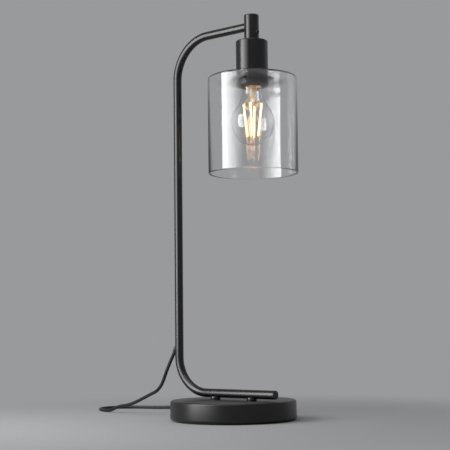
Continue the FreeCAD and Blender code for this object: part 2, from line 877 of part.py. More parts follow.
# Shade ring: screws up the lampholder and clamps the glass, with finger pockets round its collar
def make_shade_ring():
    flange_foot = ring_top_z - ring_flange_thickness
    ring = turned(
        [
            (ring_bore_radius, ring_foot_z),
            (ring_collar_radius - ring_edge, ring_foot_z),
            (ring_collar_radius, ring_foot_z + ring_edge),
            (ring_collar_radius, flange_foot),
            (ring_flange_radius - ring_edge, flange_foot),
            (ring_flange_radius, flange_foot + ring_edge),
            (ring_flange_radius, ring_top_z),
            (ring_bore_radius, ring_top_z),
        ],
        HEAD,
    )
    rib_degrees = math.degrees(ring_rib_width / ring_collar_radius)
    sweep = 360 / ring_pocket_count - rib_degrees
    pocket_foot = ring_foot_z + ring_band_height
    pocket_top = flange_foot - ring_edge
    for i in range(ring_pocket_count):
        start = math.radians(i * 360 / ring_pocket_count)
        side = vec(math.cos(start), math.sin(start), 0)
        low = HEAD + side * (ring_collar_radius - ring_pocket_depth) + Z * pocket_foot
        corners = [
            low,
            low + side * (ring_pocket_depth + past),
            low + side * (ring_pocket_depth + past) + Z * (pocket_top - pocket_foot),
            low + Z * (pocket_top - pocket_foot),
            low,
        ]
        pocket = Part.Face(Part.makePolygon(corners)).revolve(HEAD, Z, sweep)
        ring = ring.cut(pocket)
    keep("shade_ring", ring)


# Glass shade: a blown cylinder, closed at the top round the lampholder and open below
def make_glass():
    outer = glass_radius
    inner = glass_radius - glass_wall
    top = glass_top_z
    roof = ring_top_z
    foot = glass_foot_z
    r_out = glass_shoulder_radius
    r_in = max(glass_shoulder_radius - glass_wall, least_inner_radius)
    half_rim = glass_wall / 2
    mid = 1 - math.sqrt(0.5)
    shade = turned(
        [
            (inner, foot + half_rim),
            (outer - half_rim, foot, "arc"),
            (outer, foot + half_rim),
            (outer, top - r_out),
            (outer - r_out * mid, top - r_out * mid, "arc"),
            (outer - r_out, top),
            (glass_hole_radius, top),
            (glass_hole_radius, roof),
            (inner - r_in, roof),
            (inner - r_in * mid, roof - r_in * mid, "arc"),
            (inner, roof - r_in),
        ],
        HEAD,
    )
    keep("glass_shade", shade)


# Lamp: cap and contact above, pear-shaped clear bulb below, four leaning filaments inside
def bulb_solid(setback, top_z):
    """The bulb drawn in by a wall: a globe, a hollow curve up to the neck, and the throat in the cap."""
    r = lamp_globe_radius - setback
    curve = lamp_neck_curve_radius + setback
    neck = lamp_neck_radius - setback
    throat = lamp_throat_radius - setback
    rise = lamp_neck_foot_z - globe_z
    angle = math.asin(rise / globe_to_curve_reach)
    half = angle / 2
    belly = (angle - math.pi / 2) / 2
    points = [
        (0, globe_z - r),
        (r * math.cos(belly), globe_z + r * math.sin(belly), "arc"),
        (r * math.cos(angle), globe_z + r * math.sin(angle)),
        (neck + curve * (1 - math.cos(half)), lamp_neck_foot_z - curve * math.sin(half), "arc"),
        (neck, lamp_neck_foot_z),
        (neck, lamp_neck_foot_z + lamp_neck_straight),
        (throat, lamp_cap_foot_z),
        (throat, top_z),
        (0, top_z),
    ]
    return turned(points, HEAD)


def make_lamp():
    cap_top = lamp_cap_top_z
    cap_foot = lamp_cap_foot_z
    contact = turned(
        [
            (0, 0),
            (lamp_contact_radius, 0),
            (lamp_contact_radius, lamp_contact_rim_height),
            (lamp_contact_tip_radius, lamp_contact_height),
            (0, lamp_contact_height),
        ],
        HEAD + Z * (lamp_top_z - lamp_contact_height),
    )
    keep("bulb_contact", contact)
    insulator = turned(
        [
            (0, 0),
            (lamp_cap_radius - lamp_cap_bevel, 0),
            (lamp_contact_radius, lamp_insulator_height),
            (0, lamp_insulator_height),
        ],
        HEAD + Z * cap_top,
    )
    keep("bulb_insulator", insulator)
    wall = lamp_cap_wall
    cap = turned(
        [
            (lamp_cap_radius - wall, cap_foot),
            (lamp_cap_radius, cap_foot),
            (lamp_cap_radius, cap_top - lamp_cap_bevel),
            (lamp_cap_radius - lamp_cap_bevel, cap_top),
            (0, cap_top),
            (0, cap_top - wall),
            (lamp_cap_radius - lamp_cap_bevel - wall, cap_top - wall),
            (lamp_cap_radius - wall, cap_top - lamp_cap_bevel - wall),
        ],
        HEAD,
    )
    keep("bulb_cap", cap)

    glass_top = cap_foot + lamp_glass_in_cap
    bulb = bulb_solid(0, glass_top).cut(bulb_solid(lamp_glass_wall, glass_top + past))
    keep("bulb_glass", bulb)

    flare_z = glass_top - lamp_stem_below_rim
    flare_foot = flare_z - lamp_stem_flare_height
    stem = turned(
        [
            (0, flare_foot),
            (lamp_stem_radius + lamp_stem_flare_reach, flare_foot),
            (lamp_stem_flare_radius, flare_z),
            (lamp_stem_flare_radius, flare_z + lamp_stem_rim),
            (0, flare_z + lamp_stem_rim),
        ],
        HEAD,
    )
    rod_foot = lamp_stem_tip_z + lamp_stem_pinch_height - lamp_stem_pinch_overlap
    rod_part = rod(lamp_stem_radius, vec(hub_x, 0, rod_foot), vec(hub_x, 0, flare_z))
    pinch = Part.makeBox(
        2 * lamp_stem_radius,
        lamp_stem_pinch_thickness,
        lamp_stem_pinch_height,
        vec(hub_x - lamp_stem_radius, -lamp_stem_pinch_thickness / 2, lamp_stem_tip_z),
    )
    keep("bulb_stem", stem.fuse(rod_part).fuse(pinch).removeSplitter())

    filaments = []
    bead = HEAD + Z * (filament_foot_z - support_bead_below_filaments)
    wires = [Part.makeSphere(support_bead_radius, bead)]
    joint_radius = support_wire_radius * 1.02
    for i in range(filament_count):
        a = math.radians(filament_turn_degrees + i * 360 / filament_count)
        out = vec(math.cos(a), math.sin(a), 0)
        top = HEAD + out * filament_top_circle + Z * filament_top_z
        low = HEAD + out * filament_foot_circle + Z * filament_foot_z
        along = (low - top).normalize()
        filaments.append(rod(filament_radius, top, low))
        root_z = lamp_stem_tip_z + support_root_above_tip
        root = HEAD + out * (lamp_stem_radius - support_root_depth) + Z * root_z
        for end, bend, anchor in (
            (low, low + along * support_wire_stub, bead),
            (top, top - along * support_wire_stub, root),
        ):
            wires.append(rod(support_wire_radius, end, bend))
            wires.append(Part.makeSphere(joint_radius, bend))
            wires.append(rod(support_wire_radius, bend, anchor))
    keep("filaments", Part.makeCompound(filaments))
    support = wires[0].multiFuse(wires[1:])
    support = support.cut(nodes["bulb_stem"]).cut(Part.makeCompound(filaments))
    keep("filament_supports", support)


# Free cord: lead to the switch, stretch to the coil, and tail to the plug
def switch_point(along, across, z):
    a = math.radians(switch_turn_degrees)
    return vec(
        switch_x + along * math.cos(a) - across * math.sin(a),
        switch_y + along * math.sin(a) + across * math.cos(a),
        z,
    )


def plug_point(along, across, z):
    a = math.radians(plug_turn_degrees)
    return vec(
        plug_x + along * math.cos(a) - across * math.sin(a),
        plug_y + along * math.sin(a) + across * math.cos(a),
        z,
    )


def coil_outer_radius():
    return coil_inner_radius + coil_turns_per_layer * coil_pitch


def make_cord():
    floor = rest_z
    inlet = switch_point(-switch_length / 2, 0, switch_split_z)
    outlet = switch_point(switch_length / 2, 0, switch_split_z)
    lead = [
        cord_exit,
        cord_exit + cord_exit_axis * 26.0,
        vec(-137.5, 2.5, 38.5),
        vec(-167.0, 5.5, 27.6),
        vec(-204.0, 9.0, 13.4),
        vec(-232.0, 10.5, 10.2),
        vec(-252.0, 13.5, floor),
        vec(-277.0, 20.0, floor),
        vec(-297.0, 35.0, floor),
        vec(-305.0, 58.0, floor),
        vec(-296.0, 82.0, floor),
        vec(-273.0, 97.0, floor),
        vec(-243.0, 106.0, floor),
        switch_point(-switch_length / 2 - 34, -0.6, 3.2),
        switch_point(-switch_length / 2 - 12, 0, switch_split_z),
        inlet,
    ]
    coil_start = coil_point(0) - coil_direction(0) * (2 * cord_radius)
    middle = [
        outlet,
        switch_point(switch_length / 2 + 12, 0, switch_split_z),
        coil_start - coil_direction(0) * 20.0,
        coil_start,
    ]
    length = cord_stretch("cord_lead", lead)
    length += cord_stretch("cord_middle", middle)
    length += make_coil()
    turns = 2 * coil_turns_per_layer
    coil_end = coil_point(turns) + coil_direction(turns) * (2 * cord_radius)
    boot_end = plug_point(0, 0, plug_axis_z)
    tail = [
        coil_end,
        coil_end + coil_direction(turns) * 14.0,
        coil_end + vec(-34.0, 0.2, -3.6),
        plug_point(-14, 0, plug_axis_z),
        boot_end,
    ]
    length += cord_stretch("cord_tail", tail)
    whole = length + switch_length + plug_boot_length
    print("free cord length", round(length, 1), "with the switch and the boot", round(whole, 1))


# Coil: spirals in on the floor, climbs half a turn at its middle and spirals out again on top
def coil_point(turn):
    """A point of the coil's centre line, turn counted from its start at the outside."""
    half = coil_turns_per_layer
    inward = min(turn, half)
    outward = max(turn - half, 0)
    radius = coil_outer_radius() - coil_pitch * inward + coil_pitch * outward
    climb = min(max((turn - half) / coil_climb_turns + 0.5, 0), 1)
    rise = coil_layer_rise * (1 - math.cos(math.pi * climb)) / 2
    a = 2 * math.pi * turn - math.pi / 2
    return vec(coil_x + radius * math.cos(a), coil_y + radius * math.sin(a), coil_z + rise)


def coil_direction(turn):
    step = 0.001
    return (coil_point(turn + step) - coil_point(turn - step)).normalize()


def arc_under(start, corner, end):
    """The arc that leaves start towards a corner and reaches end along the corner's other side."""
    chord_middle = (start + end) * 0.5
    lift = corner - chord_middle
    half_chord = (end - start).Length / 2
    sagitta = half_chord * math.tan(math.atan2(lift.Length, half_chord) / 2)
    return Part.Arc(start, chord_middle + lift.normalize() * sagitta, end).toShape()


def biarc(start, start_way, end, end_way):
    """Two arcs that meet smoothly between two points with given directions."""
    span = end - start
    both = start_way + end_way
    bend = 2 * (1 - start_way.dot(end_way))
    along = span.dot(both)
    reach = (-along + math.sqrt(along ** 2 + bend * span.dot(span))) / bend
    first = start + start_way * reach
    last = end - end_way * reach
    meet = (first + last) * 0.5
    return [arc_under(start, first, meet), arc_under(meet, last, end)]


def least_coil_gap():
    """The least distance between laps of the coil, surface to surface, measured on points."""
    turns = 2 * coil_turns_per_layer
    per_turn = 72
    count = int(turns * per_turn)
    line = [coil_point(i / per_turn) for i in range(count + 1)]
    least = 1000.0
    for i in range(0, count + 1, 3):
        for j in range(i + per_turn // 2, count + 1):
            least = min(least, (line[i] - line[j]).Length)
    return least - 2 * cord_radius


def make_coil():
    turns = 2 * coil_turns_per_layer
    quarters = int(math.ceil(4 * turns))
    stops = [turns * i / quarters for i in range(quarters + 1)]
    run = 2 * cord_radius
    start = coil_point(0)
    end = coil_point(turns)
    entry = start - coil_direction(0) * run
    leave = end + coil_direction(turns) * run
    edges = [Part.LineSegment(entry, start).toShape()]
    for before, after in zip(stops[:-1], stops[1:]):
        edges += biarc(coil_point(before), coil_direction(before), coil_point(after), coil_direction(after))
    edges.append(Part.LineSegment(end, leave).toShape())
    path = Part.Wire(edges)
    keep("cord_coil", swept(path, cord_radius))
    print("coil length", round(path.Length, 1), "least gap to itself", round(least_coil_gap(), 2))

    low = coil_z - cord_radius - tie_gap - tie_wire_radius
    high = coil_z + coil_layer_rise + cord_radius + tie_gap + tie_wire_radius
    near = coil_x + coil_inner_radius - cord_radius - tie_gap - tie_wire_radius
    outer_lap = coil_outer_radius() - coil_pitch / 4
    far = coil_x + outer_lap + cord_radius + tie_gap + tie_wire_radius
    corner = tie_corner_radius
    mid_x = (near + far) / 2
    corners = [
        vec(mid_x, coil_y, low),
        vec(far, coil_y, low),
        vec(far, coil_y, high),
        vec(near, coil_y, high),
        vec(near, coil_y, low),
        vec(mid_x, coil_y, low),
    ]
    loop = swept(corner_path(corners, [corner] * 4), tie_wire_radius)
    twist_root = vec(far - corner, coil_y, high)
    twist_tip = twist_root + X * (corner + tie_twist_length) + Z * tie_twist_rise
    twist = rod(tie_twist_radius, twist_root, twist_tip)
    keep("coil_tie", loop.fuse(twist).removeSplitter())
    return path.Length


# Inline switch: two moulded halves screwed together round a rocker that tilts on its own pins
def switch_outline(setback):
    half = switch_length / 2 - setback
    wide = switch_width / 2 - setback
    nose = switch_nose_radius - setback
    run = switch_shoulder_length
    drop = wide - nose
    bend = (run ** 2 + drop ** 2) / (2 * drop)
    corner = math.asin(run / bend)
    edges = []
    for sx, sy in ((1, 1), (-1, 1), (-1, -1), (1, -1)):
        middle = vec(
            sx * (half - run + bend * math.sin(corner / 2)),
            sy * (wide - bend + bend * math.cos(corner / 2)),
            0,
        )
        tip = vec(sx * half, sy * nose, 0)
        side = vec(sx * (half - run), sy * wide, 0)
        edges.append(Part.Arc(tip, middle, side).toShape())
    for sign in (1, -1):
        edges.append(Part.LineSegment(vec(sign * half, nose, 0), vec(sign * half, -nose, 0)).toShape())
        edges.append(
            Part.LineSegment(vec(half - run, sign * wide, 0), vec(run - half, sign * wide, 0)).toShape()
        )
    return Part.Face(Part.Wire(Part.__sortEdges__(edges)))


def make_switch():
    foot = floor_clearance
    outline = switch_outline(0)
    base = outline.extrude(Z * (switch_split_z - foot))
    base.translate(Z * foot)
    base = round_edges_at(base, switch_edge_radius, foot)
    cover = outline.extrude(Z * (switch_height - switch_split_z))
    cover.translate(Z * switch_split_z)
    cover = round_edges_at(cover, switch_edge_radius, switch_height)

    pivot = vec(0, 0, rocker_pin_z)
    half_pocket = math.hypot(rocker_length / 2, switch_height - rocker_pin_z) + rocker_clearance
    half_width = rocker_width / 2 + rocker_clearance
    through = Part.makeBox(
        2 * half_pocket,
        2 * half_width,
        switch_height - switch_split_z + past,
        vec(-half_pocket, -half_width, switch_split_z),
    )
    well = Part.makeBox(
        2 * (half_pocket - switch_well_inset),
        2 * half_width,
        switch_height,
        vec(switch_well_inset - half_pocket, -half_width, foot + switch_wall),
    )
    pin_half = rocker_width / 2 + rocker_pin_reach
    pin_hole = rod(
        rocker_pin_radius + rocker_pin_clearance,
        vec(0, -pin_half - rocker_clearance, rocker_pin_z),
        vec(0, pin_half + rocker_clearance, rocker_pin_z),
    )
    cover = cover.cut(through).cut(pin_hole)
    base = base.cut(well)

    screws = []
    head_foot = foot + switch_screw_recess
    head_top = head_foot + switch_screw_head_height
    screw_top = switch_split_z + switch_screw_in_cover
    for x in (-switch_screw_offset, switch_screw_offset):
        recess_radius = switch_screw_head_radius + switch_screw_head_clearance
        recess = rod(recess_radius, vec(x, 0, foot - past), vec(x, 0, head_top))
        hole_top = vec(x, 0, screw_top + switch_screw_clearance)
        hole = rod(switch_screw_radius + switch_screw_clearance, vec(x, 0, foot), hole_top)
        base = base.cut(recess).cut(hole)
        cover = cover.cut(hole)
        head = rod(switch_screw_head_radius, vec(x, 0, head_foot), vec(x, 0, head_top))
        shank = rod(switch_screw_radius, vec(x, 0, head_top), vec(x, 0, screw_top))
        screw = head.fuse(shank).removeSplitter()
        for turn in (0, 90):
            corner = vec(-screw_slot_length / 2, -screw_slot_width / 2, 0)
            slot = Part.makeBox(screw_slot_length, screw_slot_width, screw_slot_depth, corner)
            slot.rotate(vec(0, 0, 0), Z, turn)
            slot.translate(vec(x, 0, head_foot))
            screw = screw.cut(slot)
        screws.append(screw)

    end = rocker_length / 2
    crown_z = switch_height + rocker_crown - rocker_pin_z
    shoulder_z = crown_z - end * math.tan(math.radians(rocker_tilt_degrees))
    points = [
        vec(-end, -rocker_width / 2, shoulder_z),
        vec(0, -rocker_width / 2, crown_z),
        vec(end, -rocker_width / 2, shoulder_z),
        vec(end - rocker_end_taper, -rocker_width / 2, 0),
        vec(end / 2, -rocker_width / 2, -rocker_depth),
        vec(-end / 2, -rocker_width / 2, -rocker_depth),
        vec(rocker_end_taper - end, -rocker_width / 2, 0),
        vec(-end, -rocker_width / 2, shoulder_z),
    ]
    rocker = Part.Face(Part.makePolygon(points)).extrude(Y * rocker_width)
    crest = [e for e in rocker.Edges if abs(e.BoundBox.ZMax - crown_z) < 0.01 and e.BoundBox.ZLength < 0.01]
    rocker = rocker.makeFillet(rocker_crest_radius, crest)
    pin = rod(rocker_pin_radius, vec(0, -pin_half, 0), vec(0, pin_half, 0))
    rocker = rocker.fuse(pin).removeSplitter()
    rocker.rotate(vec(0, 0, 0), Y, rocker_tilt_degrees)
    rocker.translate(pivot)

    strips = []
    for side in (-1, 1):
        strip_x = side * (contact_strip_gap + contact_strip_width) / 2 - contact_strip_width / 2
        corner = vec(strip_x, -rocker_width / 2, foot + switch_wall)
        strips.append(Part.makeBox(contact_strip_width, rocker_width, contact_strip_thickness, corner))

    parts = (
        ("switch_base", base),
        ("switch_cover", cover),
        ("switch_screws", Part.makeCompound(screws)),
        ("switch_contacts", Part.makeCompound(strips)),
        ("switch_rocker", rocker),
    )
    for name, shape in parts:
        keep(name, placed(shape, switch_x, switch_y, 0, switch_turn_degrees))


# Plug: a slim two-pin body with a ribbed, tapered boot and part-sleeved round pins
def make_plug():
    pitch = plug_boot_length / plug_boot_rings
    swell = (plug_boot_root_radius - plug_boot_tip_radius) / plug_boot_rings
    share = plug_boot_ring_share
    profile = [(0, 0)]
    for i in range(plug_boot_rings):
        r = plug_boot_tip_radius + swell * i
        groove_radius = r + swell - plug_boot_groove
        profile += [
            (r, i * pitch),
            (r + swell * share, (i + share) * pitch),
            (groove_radius, (i + share) * pitch + plug_boot_groove_slope),
            (groove_radius, (i + 1) * pitch - plug_boot_groove_slope),
        ]
    profile += [(plug_boot_root_radius, plug_boot_length), (0, plug_boot_length)]
    boot = turned(profile, vec(0, 0, plug_axis_z), X, Z)

    rear = plug_boot_length
    face = rear + plug_body_length
    half = plug_body_width / 2
    shoulder = rear + plug_body_length * plug_shoulder_share
    outline = [
        vec(rear, -plug_rear_width / 2, 0),
        vec(shoulder, -half, 0),
        vec(face, -half, 0),
        vec(face, half, 0),
        vec(shoulder, half, 0),
        vec(rear, plug_rear_width / 2, 0),
        vec(rear, -plug_rear_width / 2, 0),
    ]
    body = Part.Face(Part.makePolygon(outline)).extrude(Z * plug_body_height)
    body.translate(Z * floor_clearance)
    upright = [e for e in body.Edges if e.BoundBox.ZLength > plug_body_height / 2]
    body = body.makeFillet(plug_corner_radius, upright)
    level = [e for e in body.Edges if e.BoundBox.ZLength < 0.01 and e.BoundBox.XMax < face]
    body = body.makeFillet(plug_edge_radius, level)

    pins = []
    sleeves = []
    sleeve_bore = plug_sleeve_radius - plug_sleeve_wall
    waist = sleeve_bore - plug_pin_clearance
    tip = plug_pin_length
    nose = plug_pin_radius
    for side in (-1, 1):
        root = vec(face, side * plug_pin_spacing / 2, plug_axis_z)
        pin = turned(
            [
                (0, -plug_pin_root),
                (waist, -plug_pin_root),
                (waist, plug_sleeve_length),
                (plug_pin_radius, plug_sleeve_length),
                (plug_pin_radius, tip - nose),
                (nose * math.sqrt(0.5), tip - nose * (1 - math.sqrt(0.5)), "arc"),
                (0, tip),
            ],
            root,
            X,
            Z,
        )
        pins.append(pin)
        body = body.cut(rod(sleeve_bore, root - X * (plug_pin_root + plug_pin_clearance), root + X * past))
        sleeve = rod(plug_sleeve_radius, root, root + X * plug_sleeve_length)
        sleeves.append(sleeve.cut(rod(sleeve_bore, root - X * past, root + X * (plug_sleeve_length + past))))
    parts = (
        ("plug_boot", boot),
        ("plug_body", body),
        ("plug_pins", Part.makeCompound(pins)),
        ("plug_pin_sleeves", Part.makeCompound(sleeves)),
    )
    for name, shape in parts:
        keep(name, placed(shape, plug_x, plug_y, 0, plug_turn_degrees))


def make_all():
    make_base()
    make_spacers()
    make_tube()
    make_wiring()
    make_head()
    make_lampholder()
    make_shade_ring()
    make_glass()
    make_lamp()
    make_cord()
    make_switch()
    make_plug()


make_all()
os.makedirs("parts", exist_ok=True)
for node_name, node_shape in nodes.items():
    if not node_shape.isValid():
        print("not valid", node_name)
    node_shape.exportStep("parts/" + node_name + ".step")
print(len(nodes), "nodes")
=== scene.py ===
# %% [markdown]
# # A bent tube table lamp, dressed in Blender
# The lamp has a heavy round base, one bent tube that is leg, post and arm, and a clear glass cylinder round
# a bulb with four glowing filaments. The engineering model gives every part its size and place. This lesson
# loads that model as a fixed frame and gives each visible part a smooth mesh and a finish of its own.

# %% Load the frame
import bmesh
import bpy
import json
import math
from mathutils import Matrix, Vector


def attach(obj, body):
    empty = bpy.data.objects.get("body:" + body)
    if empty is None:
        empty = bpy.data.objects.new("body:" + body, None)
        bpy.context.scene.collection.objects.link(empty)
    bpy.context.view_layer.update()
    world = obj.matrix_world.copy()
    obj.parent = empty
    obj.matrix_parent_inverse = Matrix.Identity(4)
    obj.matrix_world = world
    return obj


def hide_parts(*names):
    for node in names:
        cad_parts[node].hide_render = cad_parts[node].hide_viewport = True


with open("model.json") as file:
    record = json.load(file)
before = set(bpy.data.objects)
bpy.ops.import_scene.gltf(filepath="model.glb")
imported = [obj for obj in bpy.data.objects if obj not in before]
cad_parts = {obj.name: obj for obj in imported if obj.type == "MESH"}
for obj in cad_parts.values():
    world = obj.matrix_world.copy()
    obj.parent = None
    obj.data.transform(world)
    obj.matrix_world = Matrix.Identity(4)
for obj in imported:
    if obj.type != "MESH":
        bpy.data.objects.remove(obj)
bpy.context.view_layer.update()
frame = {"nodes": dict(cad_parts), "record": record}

# %% [markdown]
# Sizes in this file are millimetres, as on a drawing, and Blender works in metres. One small function turns
# a drawing's point into Blender's. The origin is the middle of the base's underside, with X from the post
# towards the head and Z up, so no part has to be fitted by eye.

# %% Drawing units
MM = 0.001
HEAD_X = 40.0
POST_X = -98.5
LEG_Z = 35.9
ARM_Z = 544.0
TUBE_R = 6.0
CORD_R = 2.4
SWITCH_CORD_Z = 8.0
PLUG_CORD_Z = 6.95
TINY = 1e-6


def at(x, y, z):
    return Vector((x, y, z)) * MM


def linked(name, data):
    """A new object, linked to the scene."""
    thing = bpy.data.objects.new(name, data)
    bpy.context.scene.collection.objects.link(thing)
    return thing


# %% [markdown]
# The camera stands low and in front, a little to the right of the post, and looks slightly up. Its place
# and its three directions were found by matching edges of the base, the tube and the glass to the
# photograph, so they are written as numbers. The columns of a camera's rotation are its right, its up and
# the way behind it.

# %% Camera
camera_right = Vector((0.77276, 0.63461, -0.01077))
camera_up = Vector((0.06556, -0.06293, 0.99586))
camera_forward = Vector((-0.63131, 0.77026, 0.09024))
lens_data = bpy.data.cameras.new("photo_camera")
lens_data.lens = 91.02
lens_data.sensor_width = 36.0
camera = linked("photo_camera", lens_data)
turn = Matrix((camera_right, camera_up, -camera_forward)).transposed()
camera.matrix_world = Matrix.Translation(at(993.1, -1225.74, 125.74)) @ turn.to_4x4()
bpy.context.scene.camera = camera
print("camera stands", round(camera.location.length, 3), "m from the base")

# %% [markdown]
# A cord is a fixed length of something flexible. Its line is a spline through the route's control points,
# which pulls the cord smoothly inside each corner as a real one would lie. A NURBS spline of order three
# does this, and the order and the end rule are set after the points are there, because before that the
# spline is too short to keep them.

# %% Cord builder
def cord_line(name, route):
    curve = bpy.data.curves.new(name, "CURVE")
    curve.dimensions = "3D"
    spline = curve.splines.new("NURBS")
    spline.points.add(len(route) - 1)
    for point, place in zip(spline.points, route):
        x, y, z = Vector(place)
        point.co = (x * MM, y * MM, z * MM, 1.0)
    spline.order_u = 3
    spline.use_endpoint_u = True
    spline.resolution_u = 8
    curve.bevel_depth = CORD_R * MM
    curve.bevel_resolution = 6
    curve.use_fill_caps = True
    print(name, "has", len(route), "route points")
    return linked(name, curve)


# %% [markdown]
# The cord leaves the post through a small grommet, falls to the table, lies in one loose loop and comes
# back behind the base, to a switch in the line. The switch and the plug each have a frame of their own, and
# a helper gives points in it, so that the cord meets both of them straight.

# %% Places of the switch and the plug
def in_frame(origin_x, origin_y, degrees, along, across, z):
    a = math.radians(degrees)
    x = origin_x + along * math.cos(a) - across * math.sin(a)
    y = origin_y + along * math.sin(a) + across * math.cos(a)
    return Vector((x, y, z))


def switch_point(along, across, z):
    return in_frame(-150.0, 114.0, -3.0, along, across, z)


def plug_point(along, across, z):
    return in_frame(-139.0, 170.0, 192.0, along, across, z)


# %% The cord from the post to the switch
GROMMET_SLOPE = math.radians(58.0)
cord_way = Vector((-math.cos(GROMMET_SLOPE), 0.0, -math.sin(GROMMET_SLOPE)))
pierce = Vector((POST_X - TUBE_R, 0.0, 97.3))
cord_exit = pierce + cord_way * 6.4
on_table = [(-252.0, 13.5), (-277.0, 20.0), (-297.0, 35.0), (-305.0, 58.0), (-296.0, 82.0), (-273.0, 97.0)]
on_table.append((-243.0, 106.0))

lead_route = [cord_exit, cord_exit + cord_way * 26.0]
lead_route += [(-137.5, 2.5, 38.5), (-167.0, 5.5, 27.6), (-204.0, 9.0, 13.4), (-232.0, 10.5, 10.2)]
lead_route += [(x, y, CORD_R + 0.02) for x, y in on_table]
lead_route.append(switch_point(-64.0, -0.6, 3.2))
lead_route += [switch_point(along, 0.0, SWITCH_CORD_Z) for along in (-42.0, -30.0)]
lead_cord = cord_line("lead_cord", lead_route)

# %% [markdown]
# The length that the photograph doesn't show is put away in a flat coil behind the base. It spirals in on
# the table, climbs one diameter at its middle and spirals out again on top. The coil is more points of the
# same spline, twenty-four to a turn. A spline of this order cuts inside its points, by the cosine of half a
# step, so the points stand that much further out.

# %% The cord's coil
COIL_X = -60.0
COIL_Y = 145.0
COIL_Z = 3.65
COIL_TURNS = 6.5
COIL_PITCH = 5.25
COIL_INNER_R = 20.3
COIL_LEAD = 4.8
POINTS_PER_TURN = 24


def coil_point(turns, spread=1.0):
    half = COIL_TURNS / 2
    outer = COIL_INNER_R + COIL_PITCH * half
    radius = outer - COIL_PITCH * min(turns, half) + COIL_PITCH * max(turns - half, 0.0)
    climb = min(max((turns - half) / 0.5 + 0.5, 0.0), 1.0)
    rise = COIL_PITCH * (1 - math.cos(math.pi * climb)) / 2
    a = 2 * math.pi * turns - math.pi / 2
    reach = radius * spread
    return Vector((COIL_X + reach * math.cos(a), COIL_Y + reach * math.sin(a), COIL_Z + rise))


def coil_way(turns):
    return (coil_point(turns + 0.001) - coil_point(turns - 0.001)).normalized()


stand_out = 1 / math.cos(math.pi / POINTS_PER_TURN)
coil_steps = range(1, int(COIL_TURNS * POINTS_PER_TURN))
coil_route = [coil_point(step / POINTS_PER_TURN, stand_out) for step in coil_steps]
print("coil points:", len(coil_route))

# %% The cord from the switch through the coil to the plug
coil_start = coil_point(0.0) - coil_way(0.0) * COIL_LEAD
coil_end = coil_point(COIL_TURNS) + coil_way(COIL_TURNS) * COIL_LEAD
run_route = [switch_point(along, 0.0, SWITCH_CORD_Z) for along in (30.0, 42.0)]
run_route += [coil_start - coil_way(0.0) * 20.0, coil_start] + coil_route
run_route += [coil_end, coil_end + coil_way(COIL_TURNS) * 14.0, coil_end + Vector((-34.0, 0.2, -3.6))]
run_route += [plug_point(along, 0.0, PLUG_CORD_Z) for along in (-14.0, 0.0)]
run_cord = cord_line("run_cord", run_route)

# %% [markdown]
# The studio is a plain pale floor that fades into a background of the same tone. Far from the lamp the
# floor's material turns into plain light of the background's own value, so that no horizon shows.

# %% Background and floor sheet
BACKGROUND = (0.320, 0.322, 0.332, 1.0)
world = bpy.data.worlds.new("studio_surround")
world.use_nodes = True
world.node_tree.nodes["Background"].inputs["Color"].default_value = BACKGROUND
world.node_tree.nodes["Background"].inputs["Strength"].default_value = 1.0
bpy.context.scene.world = world
bpy.context.scene.view_settings.view_transform = "Standard"

floor_mesh = bpy.data.meshes.new("floor")
floor_build = bmesh.new()
bmesh.ops.create_circle(floor_build, cap_ends=True, radius=30.0, segments=96)
bmesh.ops.translate(floor_build, verts=floor_build.verts, vec=(0, 0, -0.00002))
floor_build.to_mesh(floor_mesh)
floor_build.free()
floor = linked("floor", floor_mesh)

# %% [markdown]
# Shader sums are easier to read as sums. A `Wire` wraps one output socket, and adding or multiplying wires
# adds the Math nodes to the tree. Every other node comes from one method, which takes the node's type, its
# settings and what goes into its sockets. The same two classes build the Geometry Nodes trees further down.

# %% Wires and graphs
class Wire:
    def __init__(self, graph, socket):
        self.graph = graph
        self.socket = socket

    def also(self, name):
        """Another output of the same node."""
        return Wire(self.graph, self.socket.node.outputs[name])

    def __add__(self, other):
        return self.graph.maths("ADD", self, other)

    __radd__ = __add__

    def __mul__(self, other):
        return self.graph.maths("MULTIPLY", self, other)

    __rmul__ = __mul__

    def __sub__(self, other):
        return self.graph.maths("SUBTRACT", self, other)

    def __rsub__(self, other):
        return self.graph.maths("SUBTRACT", other, self)

    def __truediv__(self, other):
        return self.graph.maths("DIVIDE", self, other)


class Graph:
    def __init__(self, tree):
        self.tree = tree

    def add(self, kind, settings=None, sockets=None, output=0):
        """A node of that type, with its settings first and then its sockets, as its chosen output."""
        node = self.tree.nodes.new(kind)
        for name, value in (settings or {}).items():
            setattr(node, name, value)
        for key, value in (sockets or {}).items():
            if isinstance(value, Wire):
                self.tree.links.new(value.socket, node.inputs[key])
            else:
                node.inputs[key].default_value = value
        return Wire(self, node.outputs[output]) if node.outputs else None

    def maths(self, operation, first, second=0.0):
        return self.add("ShaderNodeMath", {"operation": operation}, {0: first, 1: second})

    def step(self, value, low, high, start=0.0, end=1.0):
        """The start value below low, the end value above high, and smooth between."""
        sockets = {"Value": value, "From Min": low, "From Max": high, "To Min": start, "To Max": end}
        return self.add("ShaderNodeMapRange", {"interpolation_type": "SMOOTHSTEP"}, sockets)

    def blend_colour(self, mask, first, second):
        sockets = {0: mask, 6: (*first, 1.0), 7: (*second, 1.0)}
        return self.add("ShaderNodeMix", {"data_type": "RGBA"}, sockets, output=2)

    def blend_shader(self, mask, first, second):
        return self.add("ShaderNodeMixShader", {}, {0: mask, 1: first, 2: second})


# %% [markdown]
# A finish is a material whose patterns read Object coordinates, which are metres in the lamp's own frame,
# so a noise of scale 1000 has grains of about a millimetre on every part alike. Most finishes end in one
# Principled shader.

